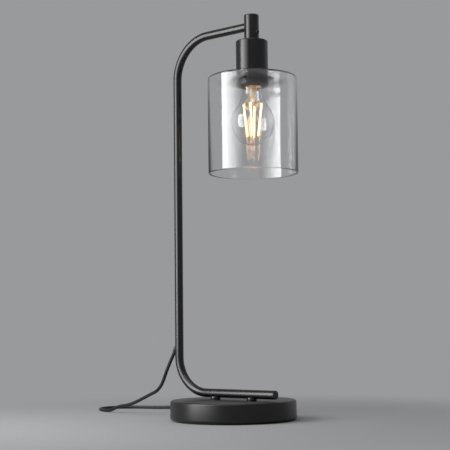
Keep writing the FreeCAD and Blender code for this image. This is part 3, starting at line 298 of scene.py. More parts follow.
# %% Finishes
class Finish(Graph):
    def __init__(self, name):
        self.material = bpy.data.materials.new(name)
        self.material.use_nodes = True
        super().__init__(self.material.node_tree)
        self.tree.nodes.clear()
        self.place = self.add("ShaderNodeTexCoord").also("Object")

    def noise(self, scale, detail=2.0, roughness=0.5, place=None):
        sockets = {"Vector": place or self.place, "Scale": scale, "Detail": detail, "Roughness": roughness}
        return self.add("ShaderNodeTexNoise", {}, sockets)

    def stretched(self, x, y, z):
        """The place with its axes scaled, so that a noise on it runs into streaks."""
        return self.add("ShaderNodeMapping", {}, {"Vector": self.place, "Scale": (x, y, z)})

    def bump(self, height, depth):
        """A bump of that depth in metres."""
        return self.add("ShaderNodeBump", {}, {"Height": height, "Distance": depth})

    def ended(self, shader):
        self.add("ShaderNodeOutputMaterial", {}, {"Surface": shader})
        print("finish:", self.material.name, "nodes:", len(self.tree.nodes))
        return self.material

    def surface(self, **sockets):
        """The Principled shader. A name's underscores are its socket's spaces."""
        named = {key.replace("_", " "): value for key, value in sockets.items()}
        return self.ended(self.add("ShaderNodeBsdfPrincipled", {}, named))


# %% [markdown]
# The floor's fade is a mask on the distance from the lamp, in metres.

# %% Floor finish
FADE_FROM = 0.22
FADE_TO = 0.64
ground = Finish("studio_floor")
ground_colour = ground.blend_colour(ground.noise(420.0, 3.0), (0.290, 0.292, 0.299), (0.318, 0.320, 0.327))
paint = ground.add("ShaderNodeBsdfDiffuse", {}, {"Color": ground_colour})
plain_light = ground.add("ShaderNodeEmission", {}, {"Color": BACKGROUND, "Strength": 1.0})
distance = ground.add("ShaderNodeVectorMath", {"operation": "LENGTH"}, {0: ground.place}, output="Value")
fade = ground.step(distance, FADE_FROM, FADE_TO)
floor.data.materials.append(ground.ended(ground.blend_shader(fade, paint, plain_light)))

# %% [markdown]
# One softbox on the left gives every highlight in the photograph: the bright band that is sharp on its left
# and fades to the right on the glass, and the strips on the tube, the hub and the cup. It is a lit card,
# made of one face, because a card's material can tell how a ray got there. The card shines on everything
# and shows in every reflection, but it isn't there when one looks at it straight through clear glass, so
# that the shade stays clear from all sides. A thin strip at the back right and a wide area overhead are
# plain area lights.

# %% Where a softbox stands
def softbox_place(from_camera_degrees, distance, height):
    """A place round the lamp's head that faces it, at a bearing from the camera, positive to the left."""
    toward_camera = Vector((camera.location.x - HEAD_X * MM, camera.location.y, 0.0)).normalized()
    bearing = Matrix.Rotation(math.radians(-from_camera_degrees), 3, "Z") @ toward_camera
    place = at(HEAD_X, 0.0, 0.0) + bearing * distance + Vector((0.0, 0.0, height))
    aim = at(HEAD_X, 0.0, 400.0)
    print("softbox at", [round(v, 2) for v in place])
    return Matrix.Translation(place) @ (aim - place).to_track_quat("-Z", "Y").to_matrix().to_4x4()


# %% Area lights
def area_light(name, place, wide, tall, watts):
    light = bpy.data.lights.new(name, "AREA")
    light.shape = "RECTANGLE"
    light.size = wide
    light.size_y = tall
    light.energy = watts
    lamp = linked(name, light)
    lamp.matrix_world = place
    lamp.visible_camera = False
    lamp.visible_transmission = False


area_light("rim_softbox", softbox_place(-124.0, 1.6, 0.55), wide=0.10, tall=1.4, watts=0.4)
area_light("top_softbox", softbox_place(20.0, 0.7, 1.8), wide=1.4, tall=1.4, watts=10.0)

# %% Key softbox
KEY_WIDE = 1.16
KEY_TALL = 0.95
KEY_LEVEL = 9.8
KEY_FADED = 0.9
key_corners = [(-0.5, -0.5), (0.5, -0.5), (0.5, 0.5), (-0.5, 0.5)]
key_place = softbox_place(49.0, 0.85, 0.50)
key_mesh = bpy.data.meshes.new("key_softbox")
key_points = [key_place @ Vector((u * KEY_WIDE, v * KEY_TALL, 0.0)) for u, v in key_corners]
key_mesh.from_pydata(key_points, [], [(3, 2, 1, 0)])
key_map = key_mesh.uv_layers.new(name="across")
for corner, (u, v) in zip(key_map.data, reversed(key_corners)):
    corner.uv = (u + 0.5, v + 0.5)
key_light = linked("key_softbox", key_mesh)
key_light.visible_camera = False
key_light.visible_shadow = False

# %% [markdown]
# The card is brightest at the edge away from the camera, and its light falls to nothing at nine tenths of
# its width. A ray that came straight through glass, or that meets the card's back, finds a transparent
# shader there.

# %% The key softbox's cloth
cloth = Finish("softbox_cloth")
across = cloth.add("ShaderNodeSeparateXYZ", {}, {0: cloth.add("ShaderNodeUVMap", {"uv_map": "across"})})
level = cloth.step(across, 0.0, KEY_FADED, KEY_LEVEL, 0.0)
ray = cloth.add("ShaderNodeLightPath")
bounced = cloth.maths("MINIMUM", ray.also("Glossy Depth") + ray.also("Diffuse Depth"), 1.0)
straight = ray.also("Is Transmission Ray") * (1 - bounced)
absent = cloth.maths("MAXIMUM", straight, cloth.add("ShaderNodeNewGeometry").also("Backfacing"))
shine = cloth.add("ShaderNodeEmission", {}, {"Strength": level})
nothing = cloth.add("ShaderNodeBsdfTransparent")
key_mesh.materials.append(cloth.ended(cloth.blend_shader(absent, shine, nothing)))

# %% [markdown]
# The stand's paint is a satin powder coat: almost black, with a very fine orange peel and a slightly uneven
# gloss and tone. The peel is a bump a few thousandths of a millimetre deep. The highlights in the
# photograph are soft-edged strips, so the roughness is about a quarter, and the base's wider highlight asks
# for about a third.

# %% Satin black powder coat
def satin_black(name="black_satin", least_rough=0.225):
    f = Finish(name)
    peel = f.noise(1300.0, 2.0, 0.45)
    fine = f.noise(3800.0, 2.0, 0.6)
    cloud = f.noise(34.0, 3.0)
    tone = f.blend_colour(f.step(fine, 0.35, 0.75), (0.0018, 0.0018, 0.0019), (0.0042, 0.0042, 0.0045))
    rough = least_rough + cloud * 0.06
    return f.surface(Base_Color=tone, Roughness=rough, IOR=1.5, Normal=f.bump(peel, 0.000003))


# %% [markdown]
# The plastics differ in their grain. Moulded parts such as the end cap, the grommet and the switch have a
# fine spark-eroded texture. The lampholder and its ring are black phenolic, which is harder and glossier,
# with a faint brown cast and a flow of filler in it. The cord's sheath is soft and dull.

# %% Plastics
def moulded_black():
    f = Finish("black_moulded")
    pits = f.add("ShaderNodeTexVoronoi", {"feature": "SMOOTH_F1"}, {"Vector": f.place, "Scale": 2600.0})
    fine = f.noise(5200.0, 2.0)
    tone = f.blend_colour(fine, (0.005, 0.005, 0.0055), (0.010, 0.010, 0.0108))
    rough = 0.40 + f.noise(60.0, 2.0) * 0.08
    return f.surface(Base_Color=tone, Roughness=rough, IOR=1.5, Normal=f.bump(pits + fine * 0.3, 0.00003))


def glossy_black():
    f = Finish("black_glossy")
    flow = f.noise(90.0, 3.0)
    scuff = f.noise(2400.0, 2.0, place=f.stretched(1.0, 0.15, 1.0))
    tone = f.blend_colour(flow, (0.008, 0.008, 0.009), (0.014, 0.014, 0.015))
    return f.surface(Base_Color=tone, Roughness=0.13 + scuff * 0.10, IOR=1.5, Normal=f.bump(flow, 0.00002))


def phenolic_black():
    f = Finish("black_phenolic")
    filler = f.noise(900.0, 4.0, 0.6)
    flow = f.noise(130.0, 3.0, place=f.stretched(1.0, 1.0, 0.35))
    tone = f.blend_colour(f.step(filler, 0.40, 0.72), (0.0050, 0.0040, 0.0036), (0.0150, 0.0115, 0.0095))
    normal = f.bump(filler * 0.5 + flow, 0.000012)
    return f.surface(Base_Color=tone, Roughness=0.12 + filler * 0.10, IOR=1.56, Normal=normal)


def cord_black():
    f = Finish("cord_sheath")
    skin = f.noise(1500.0, 3.0, 0.55)
    bloom = f.noise(45.0, 3.0)
    tone = f.blend_colour(bloom * 0.6 + skin * 0.4, (0.0035, 0.0035, 0.0038), (0.0090, 0.0090, 0.0096))
    look = {"Specular_IOR_Level": 0.4, "Normal": f.bump(skin, 0.00002)}
    return f.surface(Base_Color=tone, Roughness=0.42 + bloom * 0.10, IOR=1.5, **look)


# %% [markdown]
# The metals are told apart by how they were made. Zinc plating has a faint spangle, brass and aluminium are
# bright with fine lines from drawing, and cast iron is pitted.

# %% Metals
def drawn_metal(name, dark, light, gloss):
    f = Finish(name)
    lines = f.noise(2600.0, 3.0, 0.6, place=f.stretched(1.0, 1.0, 0.04))
    haze = f.noise(150.0, 3.0)
    tone = f.blend_colour(lines * 0.5 + haze * 0.5, dark, light)
    rough = gloss + lines * 0.14 + haze * 0.06
    return f.surface(Base_Color=tone, Metallic=1.0, Roughness=rough, Normal=f.bump(lines, 0.000008))


def zinc_plate():
    f = Finish("zinc_steel")
    spangle = f.add("ShaderNodeTexVoronoi", {}, {"Vector": f.place, "Scale": 700.0}).also("Color")
    shade = f.add("ShaderNodeSeparateColor", {}, {0: spangle})
    tone = f.blend_colour(shade, (0.50, 0.51, 0.53), (0.68, 0.68, 0.69))
    return f.surface(Base_Color=tone, Metallic=1.0, Roughness=0.26 + shade * 0.14)


def cast_iron():
    f = Finish("cast_iron")
    skin = f.noise(260.0, 6.0, 0.65)
    pit = f.add("ShaderNodeTexVoronoi", {}, {"Vector": f.place, "Scale": 420.0})
    tone = f.blend_colour(skin, (0.075, 0.072, 0.070), (0.19, 0.185, 0.18))
    normal = f.bump(skin + f.step(pit, 0.0, 0.35) * 0.6, 0.0004)
    return f.surface(Base_Color=tone, Metallic=0.6, Roughness=0.62 + skin * 0.2, Normal=normal)


# %% [markdown]
# Rubber, nylon, solder, cement and the like need one noise each: where the grain is high, the colour is
# lighter, the surface is duller and the skin stands out. The glaze of the ceramic is smoother than its
# specks.

# %% Grained finishes
def grained(name, grain, dark, light, rough, uneven=0.0, depth=0.0, **more):
    """A finish whose colour, gloss and bump follow one noise. grain is its scale, detail and roughness."""
    f = Finish(name)
    skin = f.noise(*grain)
    if uneven:
        rough = rough + skin * uneven
    if depth:
        more["Normal"] = f.bump(skin, depth)
    return f.surface(Base_Color=f.blend_colour(skin, dark, light), Roughness=rough, **more)


def glazed_ceramic():
    f = Finish("ceramic")
    speck = f.noise(1300.0, 3.0)
    tone = f.blend_colour(f.step(speck, 0.30, 0.62), (0.72, 0.70, 0.64), (0.85, 0.84, 0.80))
    return f.surface(Base_Color=tone, Roughness=0.16 + speck * 0.1, Normal=f.bump(f.noise(160.0), 0.00005))


# %% [markdown]
# Both glasses are clear. The shade is blown, so its wall is never quite even: a slow ripple bends what
# stands behind it a little. The bulb is thinner and rounder. The glass itself takes its light and dark from
# the room, which the softboxes and the pale background give.

# %% Clear glasses
def clear_glass(name, tint, ripple_scale, ripple_depth):
    f = Finish(name)
    ripple = f.noise(ripple_scale, 1.0, 0.4, place=f.stretched(1.0, 1.0, 0.3))
    tone = f.blend_colour(f.noise(ripple_scale * 6, 2.0), tint, (1.0, 1.0, 1.0))
    normal = f.bump(ripple, ripple_depth)
    return f.surface(Base_Color=tone, Roughness=0.0, IOR=1.5, Transmission_Weight=1.0, Normal=normal)


# %% [markdown]
# The filaments are rods coated with a yellow phosphor that shines by itself. The coat is thicker in some
# places, so the glow is mottled, and it turns from nearly white in the middle of its length to amber at the
# ends.

# %% Glowing filament
def glowing_filament(low_z, high_z, amber=0.004):
    f = Finish("filament_glow")
    height = f.add("ShaderNodeSeparateXYZ", {}, {0: f.place}).also("Z")
    middle = f.step(height, low_z, low_z + amber) * (1 - f.step(height, high_z - amber, high_z))
    coat = f.noise(900.0, 2.0)
    glow = f.blend_colour(middle * (0.72 + coat * 0.4), (1.0, 0.36, 0.07), (1.0, 0.56, 0.17))
    phosphor = f.blend_colour(coat, (0.80, 0.52, 0.10), (0.95, 0.72, 0.28))
    return f.surface(Base_Color=phosphor, Roughness=0.6, Emission_Color=glow, Emission_Strength=9.0)


# %% [markdown]
# Each finish is named after the slot that the engineering record gives it, so that every part, shown or
# hidden inside, can look its finish up by name.

# %% The set of finishes
finishes = {
    "black_satin": satin_black(),
    "black_moulded": moulded_black(),
    "black_glossy": glossy_black(),
    "black_phenolic": phenolic_black(),
    "cord_sheath": cord_black(),
    "cast_iron": cast_iron(),
    "zinc_steel": zinc_plate(),
    "ceramic": glazed_ceramic(),
    "clear_glass": clear_glass("clear_glass", (0.955, 0.960, 0.965), 26.0, 0.00002),
    "bulb_clear_glass": clear_glass("bulb_clear_glass", (0.975, 0.975, 0.965), 60.0, 0.00001),
    "filament_glow": glowing_filament(0.391, 0.4345),
}
for name, dark, light, rough in (
    ("contact_brass", (0.66, 0.47, 0.20), (0.82, 0.63, 0.32), 0.18),
    ("bulb_cap_metal", (0.60, 0.60, 0.61), (0.78, 0.78, 0.78), 0.16),
    ("support_wire", (0.48, 0.46, 0.43), (0.66, 0.64, 0.60), 0.22),
    ("pin_metal", (0.62, 0.61, 0.59), (0.80, 0.79, 0.77), 0.15),
):
    finishes[name] = drawn_metal(name, dark, light, rough)
for name, grain, dark, light, *skin in (
    ("foot_pad", (1700.0, 4.0, 0.7), (0.016, 0.016, 0.016), (0.042, 0.042, 0.042), 0.78, 0.15, 0.0002),
    ("nylon", (240.0, 3.0), (0.66, 0.64, 0.58), (0.80, 0.79, 0.75), 0.38, 0.1, 0.00004),
    ("live_sheath", (1800.0,), (0.15, 0.055, 0.02), (0.23, 0.095, 0.04), 0.36, 0.08),
    ("neutral_sheath", (1800.0,), (0.02, 0.09, 0.33), (0.04, 0.14, 0.46), 0.36, 0.08),
    ("bulb_black_glass", (300.0, 4.0), (0.010, 0.010, 0.012), (0.022, 0.022, 0.026), 0.06, 0.08, 0.0001),
    ("basing_cement", (1600.0, 4.0, 0.65), (0.62, 0.36, 0.13), (0.86, 0.58, 0.26), 0.8, 0.0, 0.0001),
):
    finishes[name] = grained(name, grain, dark, light, *skin)
solder_look = ((0.46, 0.46, 0.47), (0.64, 0.64, 0.64), 0.34, 0.2, 0.0001)
finishes["solder"] = grained("solder", (900.0, 3.0), *solder_look, Metallic=1.0)
# The stem's glass is tinted golden and partly diffuse. This is a painted glow that stands in for the
# filaments' warm light caught in the clear stem.
stem_painted_glow_look = ((1.0, 0.80, 0.50), (1.0, 0.93, 0.78), 0.16, 0.0, 0.0005)
finishes["stem_glass"] = grained("stem_glass", (520.0,), *stem_painted_glow_look, IOR=1.5, Transmission_Weight=0.85)
print("finishes:", len(finishes))

# %% [markdown]
# Most parts of a lamp are turned, spun, pressed or blown round an axis, so one helper makes them: an
# outline of radius and height is swept round. Sharp outlines look like card, so each corner may carry a
# radius, and the helper runs a small arc round it, as the real edge has.

# %% Outlines with rounded corners
def rounded(corners, closed=True, steps=5):
    """The points of a line round corners, each (radius, height) or (radius, height, edge radius)."""
    line = []
    count = len(corners)
    for i, corner in enumerate(corners):
        here = Vector(corner[:2])
        inner = closed or 0 < i < count - 1
        if len(corner) < 3 or corner[2] <= 0 or not inner:
            line.append(here)
            continue
        to_last = (Vector(corners[i - 1][:2]) - here).normalized()
        to_next = (Vector(corners[(i + 1) % count][:2]) - here).normalized()
        half = to_last.angle(to_next) / 2
        centre = here + (to_last + to_next).normalized() * (corner[2] / math.sin(half))
        first = here + to_last * (corner[2] / math.tan(half)) - centre
        last = here + to_next * (corner[2] / math.tan(half)) - centre
        sweep = math.pi - 2 * half
        for k in range(steps + 1):
            t = k / steps
            part = first * math.sin((1 - t) * sweep) + last * math.sin(t * sweep)
            line.append(centre + part / math.sin(sweep))
    return line


# %% A piece from points and faces
SHARP_DEGREES = 38.0
WELD = 0.0000005


def mesh_from(name, points, faces):
    """A mesh from points in millimetres, with its faces outwards."""
    mesh = bpy.data.meshes.new(name)
    build = bmesh.new()
    made = [build.verts.new(Vector(p) * MM) for p in points]
    for face in faces:
        build.faces.new([made[i] for i in face])
    bmesh.ops.remove_doubles(build, verts=build.verts, dist=WELD)
    bmesh.ops.recalc_face_normals(build, faces=build.faces)
    build.to_mesh(mesh)
    build.free()
    return mesh


def smoothed(mesh, sharp_degrees=SHARP_DEGREES):
    mesh.shade_smooth()
    mesh.set_sharp_from_angle(angle=math.radians(sharp_degrees))
    return mesh


def ridden(piece, body):
    """Let a piece ride on a body."""
    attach(piece, body)
    return piece


def new_piece(name, points, faces, finish, body, sharp_degrees=SHARP_DEGREES):
    """A mesh piece, smooth except at sharp corners."""
    mesh = smoothed(mesh_from(name, points, faces), sharp_degrees)
    mesh.materials.append(finishes[finish])
    print(name, "faces:", len(mesh.polygons))
    return ridden(linked(name, mesh), body)


# %% Turned pieces
def axis_frame(origin, way):
    """A frame at a point in millimetres with its third axis along a direction."""
    z = Vector(way).normalized()
    x = z.orthogonal().normalized() if abs(z.z) < 0.99 else Vector((1.0, 0.0, 0.0))
    y = z.cross(x)
    return Matrix.Translation(Vector(origin)) @ Matrix((x, y, z)).transposed().to_4x4()


def turned_mesh(line, segments, frame_here, closed=True):
    """Points and faces of an outline swept round the third axis of a frame."""
    points = []
    rows = []
    for radius, height in line:
        if radius < TINY:
            rows.append([len(points)] * segments)
            points.append(frame_here @ Vector((0.0, 0.0, height)))
            continue
        rows.append([len(points) + k for k in range(segments)])
        for k in range(segments):
            a = 2 * math.pi * k / segments
            points.append(frame_here @ Vector((radius * math.cos(a), radius * math.sin(a), height)))
    faces = []
    pairs = list(zip(rows, rows[1:])) + ([(rows[-1], rows[0])] if closed else [])
    for low, high in pairs:
        for k in range(segments):
            n = (k + 1) % segments
            ring = [low[k], low[n], high[n], high[k]]
            face = [v for i, v in enumerate(ring) if v not in ring[:i]]
            if len(face) > 2:
                faces.append(face)
    return points, faces


ON_HEAD = ((HEAD_X, 0.0, 0.0), (0, 0, 1))


def turned(name, corners, finish, body, axis=ON_HEAD, segments=96, steps=5):
    """A turned piece. axis is a point and a direction. An outline that starts and ends on it closes there."""
    closed = corners[0][0] > TINY or corners[-1][0] > TINY
    line = rounded(corners, closed, steps)
    points, faces = turned_mesh(line, segments, axis_frame(*axis), closed)
    return new_piece(name, points, faces, finish, body)


# %% [markdown]
# Some shapes need a hole or a flat cut into them afterwards. A Boolean modifier does that, and its result
# is baked to a plain mesh, because the frame's export wants finished meshes.

# %% Baking and cutting
def baked(piece):
    """Turn what the modifiers give into the piece's own mesh."""
    bpy.context.view_layer.update()
    graph = bpy.context.evaluated_depsgraph_get()
    mesh = bpy.data.meshes.new_from_object(piece.evaluated_get(graph), depsgraph=graph)
    piece.modifiers.clear()
    piece.data = smoothed(mesh)
    print(piece.name, "baked, faces:", len(mesh.polygons))
    return piece


def cut(piece, points, faces):
    """Take a closed form away from a piece."""
    cutter = linked("cutter", mesh_from("cutter", points, faces))
    knife = piece.modifiers.new("knife", "BOOLEAN")
    knife.operation = "DIFFERENCE"
    knife.solver = "EXACT"
    knife.object = cutter
    baked(piece)
    bpy.data.objects.remove(cutter)


def bar(radius, start, length, way, segments=48):
    """Points and faces of a bar from a point along a direction. Six segments give a hexagon."""
    line = [(0, 0), (radius, 0), (radius, length), (0, length)]
    return turned_mesh(line, segments, axis_frame(start, way), closed=False)


# %% [markdown]
# ## Base
# The base is a spun steel cover, drawn slightly inwards towards its top, with a soft top edge and a rounder
# foot edge that rolls in under it. It could be a cylinder with a bevel, but the two edges and the lip
# differ, so it is turned from its own outline, with the wall's thickness in it. It is sprayed a little
# duller than the tube.

# %% Base cover
base_line = [(0.0, 27.5), (86.327, 27.5, 2.5), (87.0, 1.8, 3.0), (80.0, 1.8, 0.4), (80.0, 3.3, 0.4)]
base_line += [(85.46, 3.3, 1.5), (84.87, 26.0, 1.0), (0.0, 26.0)]
upright = ((0, 0, 0), (0, 0, 1))
base_shell = turned("base_shell", base_line, "black_satin", "stand", axis=upright, segments=256, steps=8)
base_shell.data.materials[0] = satin_black("base_satin", 0.31)
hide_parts("base_cover")

# %% [markdown]
# ## Bent tube
# Leg, post and arm are one tube with two bends. Its shape follows a rule, a line with rounded corners and a
# round section, so Geometry Nodes make it: the object's own mesh is the bare line of corners, each with the
# bend radius it wants, and the tree rounds the corners and sweeps the section along. The same tree bends
# the wires.

# %% A tree with named inputs
def new_tree(name, **inputs):
    """A Geometry Nodes graph and its input node. Each input has a socket type and a first value, or None."""
    tree = bpy.data.node_groups.new(name, "GeometryNodeTree")
    inputs = {"Geometry": ("Geometry", None), **inputs, "Finish": ("Material", None)}
    for key, (kind, value) in inputs.items():
        label = key.replace("_", " ")
        socket = tree.interface.new_socket(label, in_out="INPUT", socket_type="NodeSocket" + kind)
        if value is not None:
            socket.default_value = value
    tree.interface.new_socket("Geometry", in_out="OUTPUT", socket_type="NodeSocketGeometry")
    graph = Graph(tree)
    return graph, graph.add("NodeGroupInput")


def end_tree(graph, given, shape):
    real = graph.add("GeometryNodeRealizeInstances", {}, {"Geometry": shape})
    finished = {"Geometry": real, "Material": given.also("Finish")}
    graph.add("NodeGroupOutput", {}, {"Geometry": graph.add("GeometryNodeSetMaterial", {}, finished)})
    print(graph.tree.name, "tree:", len(graph.tree.nodes), "nodes")
    return graph.tree


def set_inputs(modifier, **values):
    """Set a Geometry Nodes modifier's inputs by identifier. A name's underscores are spaces."""
    for item in modifier.node_group.interface.items_tree:
        key = item.name.replace(" ", "_")
        if item.item_type == "SOCKET" and item.in_out == "INPUT" and key in values:
            modifier[item.identifier] = values[key]


# %% Tree for bent bars and wires
def bent_bar_tree():
    g, given = new_tree(
        "bent_bar",
        Section_Radius=("Float", 0.006),
        Default_Bend=("Float", 0.002),
        Section_Points=("Int", 24),
        Bend_Points=("Int", 16),
        Fill_Ends=("Bool", True),
    )
    line = g.add("GeometryNodeMeshToCurve", {}, {"Mesh": given})
    named = g.add("GeometryNodeInputNamedAttribute", {"data_type": "FLOAT"}, {"Name": "bend"})
    choice = {"Switch": named.also("Exists"), "False": given.also("Default Bend"), "True": named}
    wanted = g.add("GeometryNodeSwitch", {"input_type": "FLOAT"}, choice)
    corners = {"Curve": line, "Count": given.also("Bend Points"), "Radius": wanted, "Limit Radius": True}
    round_line = g.add("GeometryNodeFilletCurve", {"mode": "POLY"}, corners)
    circle = {"Resolution": given.also("Section Points"), "Radius": given.also("Section Radius")}
    section = g.add("GeometryNodeCurvePrimitiveCircle", {"mode": "RADIUS"}, circle)
    sweep = {"Curve": round_line, "Profile Curve": section, "Fill Caps": given.also("Fill Ends")}
    return end_tree(g, given, g.add("GeometryNodeCurveToMesh", {}, sweep))


BENT_BAR = bent_bar_tree()


# %% Bent bars and wires
def bent(name, lines, finish, body, section, bends=None, bend=2.0, ring=24, arc=16, fill=True):
    """Bars along one or more lines of corner points in millimetres, with a bend radius for each point."""
    mesh = bpy.data.meshes.new(name)
    points = [Vector(p) * MM for line in lines for p in line]
    edges = []
    first = 0
    for line in lines:
        edges += [(first + i, first + i + 1) for i in range(len(line) - 1)]
        first += len(line)
    mesh.from_pydata(points, edges, [])
    if bends:
        mesh.attributes.new("bend", "FLOAT", "POINT").data.foreach_set("value", [b * MM for b in bends])
    piece = linked(name, mesh)
    shaper = piece.modifiers.new("shaper", "NODES")
    shaper.node_group = BENT_BAR
    set_inputs(
        shaper,
        Section_Radius=section * MM,
        Default_Bend=bend * MM,
        Section_Points=ring,
        Bend_Points=arc,
        Fill_Ends=fill,
        Finish=finishes[finish],
    )
    return ridden(baked(piece), body)


# %% [markdown]
# The tube is swept as a bare skin without ends, and a Solidify modifier gives it the wall, inwards.

# %% Arm tube
TUBE_WALL = 1.2
arm_line = [(71.5, 0, LEG_Z), (POST_X, 0, LEG_Z), (POST_X, 0, ARM_Z), (33.5, 0, ARM_Z)]
arm_bends = [0, 50.0, 58.0, 0]
stand_tube = bent(
    "stand_tube", [arm_line], "black_satin", "stand", TUBE_R, bends=arm_bends, ring=64, arc=48, fill=False
)
wall = stand_tube.modifiers.new("wall", "SOLIDIFY")
wall.thickness = TUBE_WALL * MM
wall.offset = -1.0
baked(stand_tube)
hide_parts("arm_tube")

# %% [markdown]
# The leg's open end is plugged with a moulded cap, whose face has a small rounded edge. The tube stands on
# two short round seats, hollowed on top to the tube's radius, so that the leg lies in them like a pipe in a
# saddle.

# %% End cap of the leg
cap_line = [(0.0, 65.5), (4.75, 65.5, 0.4), (4.75, 71.5), (6.0, 71.5), (6.0, 73.0, 0.5), (0.0, 73.0)]
along_leg = ((0, 0, LEG_Z), (1, 0, 0))
leg_cap = turned("leg_cap", cap_line, "black_moulded", "stand", axis=along_leg, segments=64)
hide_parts("arm_end_cap")


# %% Saddle spacers
def saddle(name, x, node):
    """A round seat whose top is the lower of a flat and the tube's own hollow."""
    foot_z, top_z, outer, seat_r = 27.5, 31.6, 7.0, TUBE_R + 0.03
    line = [(0.0, foot_z), (outer - 0.4, foot_z), (outer - 0.12, foot_z + 0.12), (outer, foot_z + 0.4)]
    line += [(outer, top_z - 0.5), (outer - 0.15, top_z - 0.15)]
    line += [(r, top_z) for r in (6.7, 6.5, 6.2, 5.9, 5.4, 4.6, 3.6, 2.4, 1.2, 0.0)]
    points, faces = turned_mesh(line, 96, axis_frame((x, 0, 0), (0, 0, 1)), closed=False)
    for p in points:
        if p.z > foot_z + 0.5 and abs(p.y) < seat_r:
            p.z = min(p.z, LEG_Z - math.sqrt(seat_r ** 2 - p.y ** 2))
    piece = new_piece(name, points, faces, "black_glossy", "stand")
    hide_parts(node)


saddle("rear_saddle", -32.0, "rear_spacer")
saddle("front_saddle", 32.0, "front_spacer")

# %% [markdown]
# ## Head
# The hub is a turned steel block on the arm's end. It is turned first, and then the arm's bore and the
# little flat under the screw's head are cut into it. The screw's dome gets its six-sided socket in the same
# way.

# %% Hub
SCREW_X = 49.85
SCREW_Z = 534.3
hub_line = [(0.0, 559.5), (10.3, 559.5, 1.5), (10.3, 522.2, 0.3), (5.1, 522.2), (5.1, 537.4), (0.0, 537.4)]
head_block = turned("head_block", hub_line, "black_satin", "stand", segments=128, steps=8)
cut(head_block, *bar(TUBE_R + 0.04, (HEAD_X - 12.0, 0, ARM_Z), 16.0, (1, 0, 0), segments=64))
cut(head_block, *bar(3.15, (SCREW_X, 0, SCREW_Z), 2.0, (1, 0, 0)))
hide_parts("head_hub")

# %% Hub screw
SOCKET_ACROSS = 2.0
screw_dome = [(0.0, -4.8), (1.5, -4.8), (1.5, 0.0), (3.0, 0.0, 0.15), (3.0, 0.4)]
for step in range(1, 9):
    a = math.radians(90 * step / 8)
    screw_dome.append((1.05 + 1.95 * math.cos(a), 0.4 + 1.8 * math.sin(a)))
screw_dome.append((0.0, 2.2))
screw_axis = ((SCREW_X, 0, SCREW_Z), (1, 0, 0))
head_screw = turned("head_screw", screw_dome, "black_satin", "stand", axis=screw_axis, segments=48)
cut(head_screw, *bar(SOCKET_ACROSS / math.sqrt(3), (SCREW_X + 1.1, 0, SCREW_Z), 2.0, (1, 0, 0), segments=6))
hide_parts("hub_screw")

# %% Cup over the lampholder
cup_line = [(22.2, 470.7, 0.3), (22.2, 522.2, 1.5), (5.06, 522.2), (5.06, 521.0), (21.0, 521.0, 0.3)]
cup_line.append((21.0, 470.7, 0.3))
holder_bell = turned("holder_bell", cup_line, "black_satin", "stand", segments=160, steps=8)
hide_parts("holder_cup")

# %% [markdown]
# ## Lampholder and shade ring
# The black phenolic body goes up through the hole in the glass. The shade ring screws up on it from below
# and clamps the glass. Its collar has twelve finger pockets, left between a band and a flange. The collar
# is turned, and Geometry Nodes set the twelve ribs round it, because only their number, size and start
# angle matter.

# %% Lampholder body
core_line = [(14.25, 457.5, 0.4), (17.4, 457.5, 0.5), (19.2, 459.3, 0.5), (19.2, 470.75), (20.7, 470.75, 0.2)]
core_line += [(20.7, 473.7, 0.6), (19.2, 473.7), (19.2, 488.0, 0.2), (17.17, 488.0), (17.17, 495.0, 0.3)]
core_line += [(15.5, 495.0), (15.5, 487.0), (14.25, 487.0)]
holder_core = turned("holder_core", core_line, "black_phenolic", "stand", segments=144)
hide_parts("lampholder_body")

# %% Shade ring's collar and flange
collar_line = [(19.35, 459.5, 0.3), (22.6, 459.5, 0.6), (22.6, 461.0, 0.3), (21.7, 461.0, 0.3)]
collar_line += [(21.7, 466.1, 0.3), (22.6, 466.6), (29.7, 466.6, 0.6), (29.7, 468.15, 0.3)]
collar_line.append((19.35, 468.15, 0.2))
collar = turned("shade_collar", collar_line, "black_phenolic", "stand", segments=192)
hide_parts("shade_ring")


# %% Tree for ribs round a collar
def rib_tree():
    sizes = ("Collar_Radius", "Rib_Width", "Rib_Reach", "Rib_Height", "Rib_Foot", "Edge", "Start_Angle")
    g, given = new_tree("collar_ribs", Rib_Count=("Int", 12), **{size: ("Float", None) for size in sizes})
    across = {"Width": given.also("Rib Reach") * 2.0, "Height": given.also("Rib Width")}
    outline = g.add("GeometryNodeCurvePrimitiveQuadrilateral", {"mode": "RECTANGLE"}, across)
    corners = {"Curve": outline, "Count": 4, "Radius": given.also("Edge"), "Limit Radius": True}
    soft = g.add("GeometryNodeFilletCurve", {"mode": "POLY"}, corners)
    top = g.add("ShaderNodeCombineXYZ", {}, {"Z": given.also("Rib Height")})
    stem = g.add("GeometryNodeCurvePrimitiveLine", {}, {"End": top})
    rib = g.add("GeometryNodeCurveToMesh", {}, {"Curve": stem, "Profile Curve": soft, "Fill Caps": True})
    circle = {"Vertices": given.also("Rib Count"), "Radius": given.also("Collar Radius")}
    spots = {"Mesh": g.add("GeometryNodeMeshCircle", {"fill_type": "NONE"}, circle)}
    facing = g.add("GeometryNodeInputIndex") * (2 * math.pi) / given.also("Rib Count")
    spin = g.add("ShaderNodeCombineXYZ", {}, {"Z": facing})
    ribs = {"Points": g.add("GeometryNodeMeshToPoints", {}, spots), "Instance": rib, "Rotation": spin}
    placed = g.add("GeometryNodeInstanceOnPoints", {}, ribs)
    lift = g.add("ShaderNodeCombineXYZ", {}, {"X": HEAD_X * MM, "Z": given.also("Rib Foot")})
    start = g.add("ShaderNodeCombineXYZ", {}, {"Z": given.also("Start Angle")})
    there = {"Geometry": placed, "Translation": lift, "Rotation": start}
    return end_tree(g, given, g.add("GeometryNodeTransform", {}, there))


